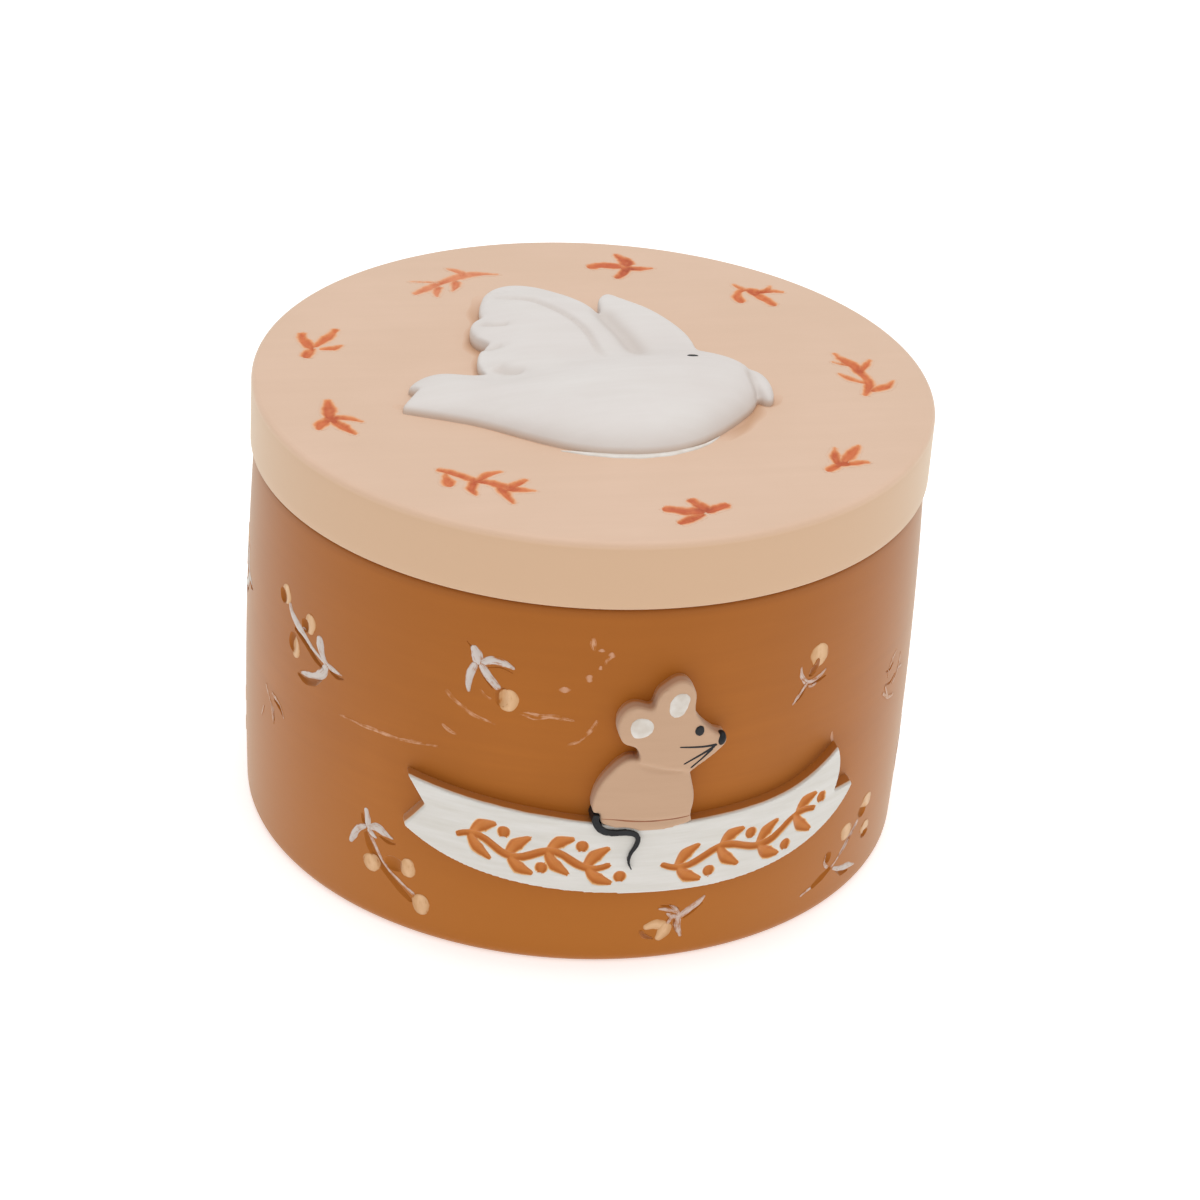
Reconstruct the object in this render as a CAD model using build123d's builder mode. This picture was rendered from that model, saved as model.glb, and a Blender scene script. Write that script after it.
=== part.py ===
# A small round keepsake box for milk teeth: a cup body, a lift-off lid and the figures raised on both.
# The origin is the middle of the flat base, +Z is up and the ribbon faces -Y.

from build123d import *
import math
import os

os.makedirs("parts", exist_ok=True)

# Main sizes in millimetres

lid_diameter = 70.0
lid_height = 7.3
body_height = 41.0
lid_overhang = 0.4
belly_swell = 0.6
foot_taper = 0.25
belly_share = 0.4
wall_thickness = 4.0
floor_thickness = 4.5
cavity_draft = 0.6
cavity_corner = 3.0
foot_round = 1.2
rim_round = 0.6
lid_top_round = 0.6
lid_lower_round = 0.3

# The locating ring under the lid

ring_clearance = 0.4
ring_depth = 3.0
ring_width = 2.6
recess_depth = 2.4
ring_round = 0.4

# The dove on the lid

dove_length = 38.0
dove_crown = 3.9
near_wing_height = 2.4
near_wing_edge = 1.6
far_wing_height = 2.1
far_wing_edge = 1.4
wing_reach_share = 0.33
wing_edge_round = 0.4
wing_notch_round = 0.5
tail_notch_share = 0.065

# The ribbon and the mouse on the wall

ribbon_half_turn = 38.6
ribbon_foot = 9.65
ribbon_height = 11.65
ribbon_relief = 1.5
mouse_foot = 17.1
mouse_height = 17.7
mouse_body_relief = 1.7
mouse_head_relief = 1.9
tail_relief = 2.0
tail_width = 0.9

# Sizes that follow from them

lid_radius = lid_diameter / 2
rim_radius = lid_radius - lid_overhang
belly_radius = rim_radius + belly_swell
foot_radius = rim_radius + foot_taper
belly_level = body_height * belly_share
mouth_radius = rim_radius - wall_thickness
cavity_foot_radius = mouth_radius - cavity_draft
ring_radius = mouth_radius - ring_clearance
lid_top = body_height + lid_height
reach = 2 * lid_radius

# Outlines as shares: the dove's in lengths of the dove, across the lid from its centre

body_station_shares = [
    (-0.548, -0.158, 0.016, 0.14),
    (-0.521, -0.118, 0.064, 0.30),
    (-0.460, -0.098, 0.112, 0.44),
    (-0.368, -0.118, 0.138, 0.54),
    (-0.263, -0.171, 0.162, 0.66),
    (-0.132, -0.205, 0.213, 0.83),
    (0.000, -0.211, 0.242, 0.96),
    (0.132, -0.193, 0.250, 1.00),
    (0.237, -0.158, 0.228, 0.97),
    (0.316, -0.127, 0.186, 0.88),
    (0.368, -0.113, 0.141, 0.76),
    (0.405, -0.108, 0.085, 0.58),
]
section_shares = [(-1.0, 0.0), (-0.88, 0.50), (-0.52, 0.87), (0.0, 1.0), (0.52, 0.87), (0.88, 0.50), (1.0, 0.0)]
near_wing_front_shares = [
    (-0.211, 0.513),
    (-0.184, 0.537),
    (-0.150, 0.545),
    (-0.105, 0.534),
    (-0.053, 0.500),
    (0.000, 0.447),
    (0.039, 0.395),
    (0.076, 0.324),
    (0.095, 0.263),
    (0.111, 0.184),
    (0.124, 0.105),
    (0.132, 0.039),
]
near_wing_root_shares = [(0.132, -0.105), (-0.237, -0.105)]
near_wing_notch_shares = [(-0.270, -0.046), (-0.254, 0.165), (-0.255, 0.330), (-0.211, 0.513)]
near_wing_lobe_shares = [(-0.308, 0.021), (-0.298, 0.229), (-0.243, 0.430)]
near_wing_crown_share = (-0.105, 0.200)
far_wing_front_shares = [
    (0.076, 0.324),
    (0.086, 0.395),
    (0.100, 0.436),
    (0.120, 0.453),
    (0.158, 0.416),
    (0.211, 0.347),
    (0.250, 0.276),
    (0.276, 0.211),
    (0.293, 0.145),
    (0.297, 0.092),
    (0.300, 0.030),
]
far_wing_crown_share = (0.210, 0.240)
far_wing_root_shares = [(0.290, -0.079), (0.118, -0.079), (0.070, 0.200)]
beak_station_shares = [
    (-0.030, 0.400, 0.020, 0.26),
    (-0.066, 0.412, 0.040, 0.44),
    (-0.110, 0.420, 0.042, 0.50),
    (-0.152, 0.427, 0.034, 0.46),
    (-0.184, 0.433, 0.021, 0.34),
    (-0.203, 0.437, 0.009, 0.20),
]
tail_notch_shares = [(-0.580, -0.020), (-0.580, -0.160), (-0.545, -0.150), (-0.492, -0.090), (-0.520, -0.052)]

# The ribbon's across half its turn and up its height

ribbon_top_shares = [
    (-0.990, 0.888),
    (-0.847, 0.845),
    (-0.593, 0.785),
    (-0.339, 0.734),
    (0.000, 0.682),
    (0.339, 0.700),
    (0.508, 0.725),
    (0.678, 0.794),
    (0.763, 0.863),
    (0.881, 1.000),
]
ribbon_right_shares = [(0.881, 1.000), (0.900, 0.860), (0.877, 0.562)]
ribbon_bottom_shares = [
    (1.000, 0.554),
    (0.932, 0.391),
    (0.847, 0.270),
    (0.678, 0.124),
    (0.508, 0.047),
    (0.169, 0.000),
    (-0.169, 0.013),
    (-0.508, 0.064),
    (-0.847, 0.227),
    (-1.000, 0.382),
]
ribbon_notch_share = (-0.907, 0.640)

# The mouse's in heights of the mouse, across the wall and up from its foot

mouse_head_shares = [
    (-0.080, 0.455),
    (-0.088, 0.520),
    (-0.110, 0.550),
    (-0.160, 0.570),
    (-0.197, 0.628),
    (-0.202, 0.700),
    (-0.168, 0.772),
    (-0.102, 0.802),
    (-0.030, 0.782),
    (-0.004, 0.862),
    (0.052, 0.938),
    (0.115, 0.970),
    (0.176, 0.936),
    (0.202, 0.855),
    (0.200, 0.765),
    (0.236, 0.688),
    (0.292, 0.626),
    (0.340, 0.592),
    (0.382, 0.572),
    (0.388, 0.538),
    (0.362, 0.504),
    (0.292, 0.446),
    (0.195, 0.372),
]
mouse_neck_share = (0.070, 0.405)
mouse_body_left_shares = [
    (-0.070, 0.455),
    (-0.140, 0.465),
    (-0.203, 0.412),
    (-0.260, 0.333),
    (-0.300, 0.237),
    (-0.311, 0.164),
    (-0.299, 0.102),
    (-0.250, 0.052),
]
mouse_body_right_shares = [
    (0.232, 0.045),
    (0.222, 0.085),
    (0.232, 0.164),
    (0.226, 0.250),
    (0.209, 0.322),
    (0.195, 0.390),
]
mouse_seat_share = (0.0, 0.0)
mouse_shoulder_share = (0.060, 0.500)
tail_path_shares = [
    (-0.288, 0.124),
    (-0.291, 0.070),
    (-0.254, 0.018),
    (-0.181, 0.002),
    (-0.105, 0.000),
    (-0.064, -0.026),
    (-0.066, -0.082),
    (-0.096, -0.146),
    (-0.100, -0.195),
    (-0.080, -0.246),
]
tail_width_shares = [0.90, 1.00, 1.00, 0.92, 0.88, 0.80, 0.66, 0.56, 0.48, 0.36]


def on_lid(share):
    """The place on the lid of a share of the dove's length."""
    return dove_length * share[0], dove_length * share[1]


def around(turn, level, relief):
    """The place in the front view of a point raised from the wall, turned from the front."""
    return (belly_radius + relief) * math.sin(turn), level


def on_ribbon(share):
    """The front view of a share of the ribbon's half turn and height."""
    turn = math.radians(ribbon_half_turn) * share[0]
    return around(turn, ribbon_foot + ribbon_height * share[1], ribbon_relief)


def on_mouse(share):
    """The front view of a share of the mouse's height."""
    turn = mouse_height * share[0] / belly_radius
    return around(turn, mouse_foot + mouse_height * share[1], mouse_body_relief)


def beside(path, widths, side):
    """The points to one side of a path, half of each width away."""
    points = []
    for index, (x, y) in enumerate(path):
        before = path[max(index - 1, 0)]
        after = path[min(index + 1, len(path) - 1)]
        along_x = after[0] - before[0]
        along_y = after[1] - before[1]
        length = math.hypot(along_x, along_y)
        step = side * widths[index] / 2
        points.append((x - step * along_y / length, y + step * along_x / length))
    return points


def wall_solid(relief):
    """The solid inside the wall's outer face, raised by a relief."""
    with BuildPart() as form:
        with BuildSketch(Plane.XZ):
            with BuildLine():
                side = ThreePointArc(
                    (foot_radius + relief, 0),
                    (belly_radius + relief, belly_level),
                    (rim_radius + relief, body_height),
                )
                Polyline(side @ 1, (0, body_height), (0, 0), side @ 0)
            make_face()
        revolve(axis=Axis.Z)
    return form.part


# The wall's outer form, and the same raised by each relief

wall_form = wall_solid(0)
ribbon_form = wall_solid(ribbon_relief)
mouse_body_form = wall_solid(mouse_body_relief)
mouse_head_form = wall_solid(mouse_head_relief)
tail_form = wall_solid(tail_relief)

# Cup body

with BuildPart() as box_body:
    add(wall_form)
    fillet(box_body.edges().filter_by(GeomType.CIRCLE).group_by(Axis.Z)[0], foot_round)
    fillet(box_body.edges().filter_by(GeomType.CIRCLE).group_by(Axis.Z)[-1], rim_round)
    with BuildSketch(Plane.XZ) as cavity:
        with BuildLine():
            Polyline(
                (0, floor_thickness),
                (cavity_foot_radius, floor_thickness),
                (mouth_radius, body_height),
                (0, body_height),
                close=True,
            )
        make_face()
        fillet(cavity.vertices().group_by(Axis.Y)[0].sort_by(Axis.X)[-1], cavity_corner)
    revolve(axis=Axis.Z, mode=Mode.SUBTRACT)

# Lid with its locating ring and the recess inside it

with BuildPart() as lid:
    with BuildSketch(Plane.XZ) as lid_section:
        with BuildLine():
            Polyline(
                (0, lid_top),
                (lid_radius, lid_top),
                (lid_radius, body_height),
                (ring_radius, body_height),
                (ring_radius, body_height - ring_depth),
                (ring_radius - ring_width, body_height - ring_depth),
                (ring_radius - ring_width, body_height + recess_depth),
                (0, body_height + recess_depth),
                close=True,
            )
        make_face()
        fillet(lid_section.vertices().group_by(Axis.Y)[-1].sort_by(Axis.X)[-1], lid_top_round)
        fillet(lid_section.vertices().group_by(Axis.X)[-1].sort_by(Axis.Y)[0], lid_lower_round)
        fillet(lid_section.vertices().group_by(Axis.Y)[0], ring_round)
    revolve(axis=Axis.Z)

# Dove's body: lofted through upright sections from the tail's tip to the head

with BuildPart() as dove_body:
    for along, middle, half, crown in body_station_shares:
        with BuildSketch(Plane.YZ.offset(dove_length * along)):
            with BuildLine():
                dome = Spline(
                    [
                        (dove_length * (middle + half * across), lid_top + dove_crown * crown * up)
                        for across, up in section_shares
                    ]
                )
                Line(dome @ 1, dome @ 0)
            make_face()
    loft()
    with BuildSketch(Plane.XY.offset(lid_top)):
        with BuildLine():
            Polyline([on_lid(share) for share in tail_notch_shares], close=True)
        make_face()
    extrude(amount=dove_crown, mode=Mode.SUBTRACT)

# Dove's beak, bent down beside the head

with BuildPart() as dove_beak:
    for along, middle, half, crown in beak_station_shares:
        with BuildSketch(Plane.XZ.offset(-dove_length * along)):
            with BuildLine():
                beak_dome = Spline(
                    [
                        (dove_length * (middle + half * across), lid_top + dove_crown * crown * up)
                        for across, up in section_shares
                    ]
                )
                Line(beak_dome @ 1, beak_dome @ 0)
            make_face()
    loft()
    add(dove_body.part, mode=Mode.SUBTRACT)

# Dove's near wing: a crowned slab with a scalloped trailing edge, let into the body

wing_reach = dove_length * wing_reach_share
near_wing_drop = near_wing_height - near_wing_edge
near_wing_ball = (wing_reach**2 + near_wing_drop**2) / (2 * near_wing_drop)
far_wing_drop = far_wing_height - far_wing_edge
far_wing_ball = (wing_reach**2 + far_wing_drop**2) / (2 * far_wing_drop)

with BuildPart() as dove_near_wing:
    with BuildSketch(Plane.XY.offset(lid_top)) as near_outline:
        with BuildLine():
            wing_front = Spline([on_lid(share) for share in near_wing_front_shares])
            Polyline(
                wing_front @ 1,
                *[on_lid(share) for share in near_wing_root_shares],
                on_lid(near_wing_notch_shares[0]),
            )
            for start, lobe, end in zip(
                near_wing_notch_shares, near_wing_lobe_shares, near_wing_notch_shares[1:]
            ):
                ThreePointArc(on_lid(start), on_lid(lobe), on_lid(end))
        make_face()
        fillet(near_outline.vertices(), wing_notch_round)
    extrude(amount=near_wing_height)
    with Locations((*on_lid(near_wing_crown_share), lid_top + near_wing_height - near_wing_ball)):
        Sphere(near_wing_ball, mode=Mode.INTERSECT)
    fillet(dove_near_wing.faces().sort_by(Axis.Z)[-1].edges(), wing_edge_round)
    add(dove_body.part, mode=Mode.SUBTRACT)

# Dove's far wing, behind the near one

with BuildPart() as dove_far_wing:
    with BuildSketch(Plane.XY.offset(lid_top)) as far_outline:
        with BuildLine():
            far_front = Spline([on_lid(share) for share in far_wing_front_shares])
            Polyline(
                far_front @ 1,
                *[on_lid(share) for share in far_wing_root_shares],
                far_front @ 0,
            )
        make_face()
        fillet(far_outline.vertices(), wing_notch_round)
    extrude(amount=far_wing_height)
    with Locations((*on_lid(far_wing_crown_share), lid_top + far_wing_height - far_wing_ball)):
        Sphere(far_wing_ball, mode=Mode.INTERSECT)
    fillet(dove_far_wing.faces().sort_by(Axis.Z)[-1].edges(), wing_edge_round)
    add(dove_near_wing.part, mode=Mode.SUBTRACT)
    add(dove_body.part, mode=Mode.SUBTRACT)

# Ribbon banner: its front outline carried through to the wall it wraps

with BuildPart() as ribbon_banner:
    with BuildSketch(Plane.XZ):
        with BuildLine():
            ribbon_top = Spline([on_ribbon(share) for share in ribbon_top_shares])
            ribbon_right = Spline([on_ribbon(share) for share in ribbon_right_shares])
            ribbon_bottom = Spline([on_ribbon(share) for share in ribbon_bottom_shares])
            Line(ribbon_right @ 1, ribbon_bottom @ 0)
            Polyline(ribbon_bottom @ 1, on_ribbon(ribbon_notch_share), ribbon_top @ 0)
        make_face()
    extrude(amount=reach)
    add(ribbon_form, mode=Mode.INTERSECT)
    add(wall_form, mode=Mode.SUBTRACT)

# Mouse's head with both ears

with BuildPart() as mouse_head:
    with BuildSketch(Plane.XZ):
        with BuildLine():
            head_line = Spline([on_mouse(share) for share in mouse_head_shares])
            Polyline(head_line @ 1, on_mouse(mouse_neck_share), head_line @ 0)
        make_face()
    extrude(amount=reach)
    add(mouse_head_form, mode=Mode.INTERSECT)
    add(wall_form, mode=Mode.SUBTRACT)

# Mouse's tail, over the ribbon

tail_path = [on_mouse(share) for share in tail_path_shares]
tail_widths = [tail_width * share for share in tail_width_shares]

with BuildPart() as mouse_tail:
    with BuildSketch(Plane.XZ):
        with BuildLine():
            tail_left = Spline(beside(tail_path, tail_widths, 1))
            tail_right = Spline(beside(tail_path, tail_widths, -1))
            Line(tail_left @ 0, tail_right @ 0)
            Line(tail_left @ 1, tail_right @ 1)
        make_face()
    extrude(amount=reach)
    add(tail_form, mode=Mode.INTERSECT)
    add(wall_form, mode=Mode.SUBTRACT)
    add(ribbon_banner.part, mode=Mode.SUBTRACT)

# Mouse's body, sitting over the ribbon's upper edge

with BuildPart() as mouse_body:
    with BuildSketch(Plane.XZ):
        with BuildLine():
            back_line = Spline([on_mouse(share) for share in mouse_body_left_shares])
            chest_line = Spline([on_mouse(share) for share in mouse_body_right_shares])
            ThreePointArc(back_line @ 1, on_mouse(mouse_seat_share), chest_line @ 0)
            Polyline(chest_line @ 1, on_mouse(mouse_shoulder_share), back_line @ 0)
        make_face()
    extrude(amount=reach)
    add(mouse_body_form, mode=Mode.INTERSECT)
    add(wall_form, mode=Mode.SUBTRACT)
    add(ribbon_banner.part, mode=Mode.SUBTRACT)
    add(mouse_head.part, mode=Mode.SUBTRACT)
    add(mouse_tail.part, mode=Mode.SUBTRACT)

box_body.part.label = "box_body"
lid.part.label = "lid"
dove_body.part.label = "dove_body"
dove_beak.part.label = "dove_beak"
dove_near_wing.part.label = "dove_near_wing"
dove_far_wing.part.label = "dove_far_wing"
ribbon_banner.part.label = "ribbon_banner"
mouse_body.part.label = "mouse_body"
mouse_head.part.label = "mouse_head"
mouse_tail.part.label = "mouse_tail"

export_step(box_body.part, "parts/box_body.step")
export_step(lid.part, "parts/lid.step")
export_step(dove_body.part, "parts/dove_body.step")
export_step(dove_beak.part, "parts/dove_beak.step")
export_step(dove_near_wing.part, "parts/dove_near_wing.step")
export_step(dove_far_wing.part, "parts/dove_far_wing.step")
export_step(ribbon_banner.part, "parts/ribbon_banner.step")
export_step(mouse_body.part, "parts/mouse_body.step")
export_step(mouse_head.part, "parts/mouse_head.step")
export_step(mouse_tail.part, "parts/mouse_tail.step")
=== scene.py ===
# %% [markdown]
# A small round box for milk teeth, cast in resin and painted by hand. The cup and the lid are the two
# loose castings. A dove is raised on the lid, and a ribbon with a sitting mouse is raised on the wall.
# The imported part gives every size, so it is loaded first. Nothing stays selected, because the tools
# of edit mode work on all that is selected.

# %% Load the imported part
import math
import random

import bpy
import numpy as np
from mathutils import Matrix, Vector
from mathutils.bvhtree import BVHTree


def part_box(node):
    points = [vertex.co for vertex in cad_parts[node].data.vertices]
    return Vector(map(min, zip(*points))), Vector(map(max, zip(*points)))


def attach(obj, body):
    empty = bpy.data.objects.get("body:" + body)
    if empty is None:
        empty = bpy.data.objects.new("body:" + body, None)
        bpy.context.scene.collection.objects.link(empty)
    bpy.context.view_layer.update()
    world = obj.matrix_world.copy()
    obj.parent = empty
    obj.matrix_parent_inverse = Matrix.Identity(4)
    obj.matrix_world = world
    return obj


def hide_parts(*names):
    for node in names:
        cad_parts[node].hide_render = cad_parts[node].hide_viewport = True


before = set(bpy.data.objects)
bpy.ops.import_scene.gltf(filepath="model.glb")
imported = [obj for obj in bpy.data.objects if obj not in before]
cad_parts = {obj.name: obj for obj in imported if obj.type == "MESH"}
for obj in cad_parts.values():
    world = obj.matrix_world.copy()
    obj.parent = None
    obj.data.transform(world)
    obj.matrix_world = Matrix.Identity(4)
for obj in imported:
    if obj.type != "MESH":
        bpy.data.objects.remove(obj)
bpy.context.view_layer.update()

mm = 0.001
bpy.ops.object.select_all(action="DESELECT")

# %% [markdown]
# The camera comes before anything is shaped, so that each piece can be judged from where the
# photograph was taken. The box was seen from close by, 29 degrees from above and a little from its
# left, with the camera leaning 4 degrees. A turn round the upright axis, a tilt and that lean are
# multiplied, in this order, into the camera's own turn.

# %% Camera
camera_place = (-0.07235, -0.31522, 0.20457)
camera_turns = ((-13.3, "Z"), (60.617, "X"), (3.93, "Z"))
lens_data = bpy.data.cameras.new("camera")
lens_data.lens = 105
lens_data.sensor_width = 36
lens_data.clip_start = 0.01
lens_data.clip_end = 20
camera = bpy.data.objects.new("camera", lens_data)
bpy.context.scene.collection.objects.link(camera)
from_left, tilt, lean = (Matrix.Rotation(math.radians(degrees), 4, axis) for degrees, axis in camera_turns)
camera.matrix_world = Matrix.Translation(camera_place) @ from_left @ tilt @ lean
bpy.context.scene.camera = camera
print("the camera is", round(camera.location.length / mm), "mm from the middle of the box's base")

# %% [markdown]
# The box stands in a white tent: an even pale light from all sides, a pale floor, and two large soft
# lamps. The stronger hangs over the lid, and the weaker one stands high in front, so that the raised
# figures keep a gentle shading. The floor glows a little, as a lit sweep of white paper does, so that
# the underside of each rounding isn't dark.

# %% Studio
def srgb(red, green, blue):
    """A colour as it is read from a screen, turned into the linear values that Blender mixes."""
    return tuple(((v / 255 + 0.055) / 1.055) ** 2.4 for v in (red, green, blue)) + (1,)


def soft_lamp(name, place, size, watts):
    """A square lamp at a place in metres, turned to the middle of the box."""
    data = bpy.data.lights.new(name, "AREA")
    data.size = size
    data.energy = watts
    lamp = bpy.data.objects.new(name, data)
    bpy.context.scene.collection.objects.link(lamp)
    lamp.location = place
    lamp.rotation_euler = (Vector((0, 0, 0.02)) - Vector(place)).to_track_quat("-Z", "Y").to_euler()


bpy.context.scene.view_settings.view_transform = "Standard"
tent = bpy.data.worlds.new("white_tent")
bpy.context.scene.world = tent
tent.use_nodes = True
tent.node_tree.nodes["Background"].inputs["Color"].default_value = (1, 1, 1, 1)
tent.node_tree.nodes["Background"].inputs["Strength"].default_value = 0.62
soft_lamp("key_lamp", (0.05, -0.6, 0.75), 0.6, 1.1)
soft_lamp("top_lamp", (0.04, 0.15, 0.9), 0.6, 2.45)

bpy.ops.mesh.primitive_plane_add(size=6, location=(0, 0, 0))
floor = bpy.context.object
floor.name = "floor"
sweep = bpy.data.materials.new("white_sweep")
sweep.use_nodes = True
paper = sweep.node_tree.nodes["Principled BSDF"]
paper.inputs["Base Color"].default_value = (0.86, 0.86, 0.86, 1)
paper.inputs["Roughness"].default_value = 0.9
paper.inputs["Emission Color"].default_value = (1, 1, 1, 1)
paper.inputs["Emission Strength"].default_value = 0.5
floor.data.materials.append(sweep)

# %% [markdown]
# A few short helpers stand for what the hand does over and over: put everything down, pick one piece
# up, give it one modifier and apply it, join pieces of one kind, and paint them.

# %% Helpers for picking pieces up
def set_down():
    """Leaves edit mode and selects nothing."""
    if bpy.context.object and bpy.context.object.mode != "OBJECT":
        bpy.ops.object.mode_set(mode="OBJECT")
    bpy.ops.object.select_all(action="DESELECT")


def pick_up(*pieces):
    """Selects these pieces alone; the first is the active one."""
    set_down()
    for piece in pieces:
        piece.select_set(True)
    bpy.context.view_layer.objects.active = pieces[0]


def work_with(piece, kind, **settings):
    """Gives a piece one modifier and applies it."""
    pick_up(piece)
    bpy.ops.object.modifier_add(type=kind)
    modifier = piece.modifiers[-1]
    modifier.show_viewport = False
    for name, value in settings.items():
        setattr(modifier, name, value)
    bpy.ops.object.modifier_apply(modifier=modifier.name)


def joined(name, pieces):
    """Makes one piece of several."""
    pick_up(*pieces)
    if len(pieces) > 1:
        bpy.ops.object.join()
    pieces[0].name = name
    pieces[0].data.name = name
    return pieces[0]


def report(piece):
    """Prints how many triangles a piece has."""
    print(f"{piece.name}: {sum(len(face.vertices) - 2 for face in piece.data.polygons)} triangles")


casting_edge, sprig_edge, detail_edge = 32, 50, 60


def coated(piece, paint, sharp):
    """Gives a piece its paint and smooth shading, with edges sharper than an angle in degrees kept."""
    piece.data.materials.append(paint)
    pick_up(piece)
    bpy.ops.object.shade_smooth_by_angle(angle=math.radians(sharp))
    set_down()


def coated_smooth(piece, paint):
    """Gives a modelled figure its paint and smooth shading all over."""
    piece.data.materials.append(paint)
    pick_up(piece)
    bpy.ops.object.shade_smooth()
    report(piece)


def rows_of(piece, kind="co"):
    """A mesh's points, or its normals, as rows of three numbers."""
    rows = np.empty(len(piece.data.vertices) * 3)
    piece.data.vertices.foreach_get(kind, rows)
    return rows.reshape(-1, 3)


def mark(piece, name, values):
    """Gives each point of a mesh a value that a material can read."""
    piece.data.attributes.new(name, "FLOAT", "POINT").data.foreach_set("value", values)


# %% [markdown]
# Places on the wall are given by how far round they are from the middle of the ribbon, in millimetres
# along the wall, and how far up. The wall swells to its widest a little below its middle, as a circle
# through three points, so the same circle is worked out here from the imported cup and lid. The plan
# radius is the one at which millimetres along the wall are counted.

# %% The wall's form and the places on it
lid_overhang, foot_taper, belly_share, paint_room = 0.4, 0.25, 0.4, 0.02
plan_radius = 35.0
_, lid_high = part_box("lid")
_, cup_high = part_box("box_body")
lid_top = lid_high.z / mm
lid_radius = lid_high.x / mm
body_height = cup_high.z / mm
belly_radius = round(cup_high.x / mm, 1) - paint_room
rim_radius = lid_radius - lid_overhang
foot_radius = rim_radius + foot_taper
belly_level = body_height * belly_share


def circle_through(a, b, c):
    """The centre and the radius of the circle through three points of a section."""
    (ax, az), (bx, bz), (cx, cz) = a, b, c
    turn = 2 * (ax * (bz - cz) + bx * (cz - az) + cx * (az - bz))
    squares = [ax * ax + az * az, bx * bx + bz * bz, cx * cx + cz * cz]
    x = (squares[0] * (bz - cz) + squares[1] * (cz - az) + squares[2] * (az - bz)) / turn
    z = (squares[0] * (cx - bx) + squares[1] * (ax - cx) + squares[2] * (bx - ax)) / turn
    return x, z, math.hypot(ax - x, az - z)


arc_x, arc_z, arc_radius = circle_through(
    (foot_radius, 0), (belly_radius, belly_level), (rim_radius, body_height)
)


def wall_radius(up):
    """The wall's radius at a height, for one height or an array of them."""
    return arc_x + np.sqrt(arc_radius**2 - (np.asarray(up) - arc_z) ** 2)


def on_wall(flat, out):
    """Places on the wall, from rows of across and up, at a distance out of it, in metres."""
    turn = flat[:, 0] / plan_radius
    radius = wall_radius(flat[:, 1]) + out
    return np.column_stack((radius * np.sin(turn), -radius * np.cos(turn), flat[:, 1])) * mm


def on_lid(flat, out):
    """Places on the flat top of the lid, from rows of x and y, at a height above it, in metres."""
    return np.column_stack((flat[:, 0], flat[:, 1], lid_top + out * np.ones(len(flat)))) * mm


radii = [round(float(wall_radius(z)), 2) for z in (0, belly_level, body_height)]
print("wall radius at foot, belly, rim:", radii)

# %% [markdown]
# The effects that several finishes share are node groups, built once. The brushed coat gives the
# faint bands of a soft brush and a slow mottling of the coat. It reads places on the object, squeezed
# along one direction, so the bands run along the other two. The speck group scatters the few dark
# dust specks that every hand-painted casting has.

# %% Shared effects
def new_group(name, inputs, outputs):
    """A shader node group with named sockets, and its two end nodes."""
    group = bpy.data.node_groups.new(name, "ShaderNodeTree")
    for label, kind, value in inputs:
        socket = group.interface.new_socket(label, in_out="INPUT", socket_type="NodeSocket" + kind)
        if value is not None:
            socket.default_value = value
    for label, kind in outputs:
        group.interface.new_socket(label, in_out="OUTPUT", socket_type="NodeSocket" + kind)
    return group, group.nodes.new("NodeGroupInput"), group.nodes.new("NodeGroupOutput")


def fed(tree, made, links):
    """A node whose numbered or named inputs are linked to sockets or set to values."""
    for socket, source in dict(links).items():
        if isinstance(source, bpy.types.NodeSocket):
            tree.links.new(source, made.inputs[socket])
        else:
            made.inputs[socket].default_value = source
    return made


def node(tree, kind, links=(), **settings):
    """One node with its settings and inputs."""
    made = tree.nodes.new("ShaderNode" + kind)
    for name, value in settings.items():
        setattr(made, name, value)
    return fed(tree, made, links)


def sum_of(tree, kind, first, second, third=None, clamp=False):
    """The result of one Math node."""
    links = {0: first, 1: second}
    if third is not None:
        links[2] = third
    return node(tree, "Math", links, operation=kind, use_clamp=clamp).outputs[0]


def times(tree, first, second):
    """Two values multiplied."""
    return sum_of(tree, "MULTIPLY", first, second)


def colour_mix(tree, share, first, second):
    """The result of one Mix node that mixes colours."""
    return node(tree, "Mix", {0: share, 6: first, 7: second}, data_type="RGBA").outputs[2]


def ramp(tree, value, start, full, low=0.0, high=1.0):
    """A value that runs from low to high as another runs from its start to full."""
    return node(tree, "MapRange", {0: value, 1: start, 2: full, 3: low, 4: high}).outputs[0]


def noise(tree, vector, scale, detail, **more):
    """A noise texture's value."""
    links = {"Vector": vector, "Scale": scale, "Detail": detail, **more}
    return node(tree, "TexNoise", links).outputs["Fac"]


def scaled(tree, vector, factors):
    """A vector with each part multiplied."""
    return node(tree, "VectorMath", {0: vector, 1: factors}, operation="MULTIPLY").outputs[0]


brushed, brushed_in, brushed_out = new_group(
    "brushed_coat",
    (("Vector", "Vector", None), ("Squeeze", "Vector", (60, 60, 900)), ("Mottle Size", "Float", 90.0)),
    (("Bands", "Float"), ("Mottle", "Float"), ("Height", "Float")),
)
brushed_place = brushed_in.outputs["Vector"]
squeezed = scaled(brushed, brushed_place, brushed_in.outputs["Squeeze"])
bands = noise(brushed, squeezed, 1.0, 3.0, Roughness=0.6)
mottle = noise(brushed, brushed_place, brushed_in.outputs["Mottle Size"], 4.0)
grain = noise(brushed, brushed_place, 3200.0, 2.0)
height = sum_of(brushed, "MULTIPLY_ADD", bands, 0.75, times(brushed, grain, 0.25))
for label, value in (("Bands", bands), ("Mottle", mottle), ("Height", height)):
    brushed.links.new(value, brushed_out.inputs[label])

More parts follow.
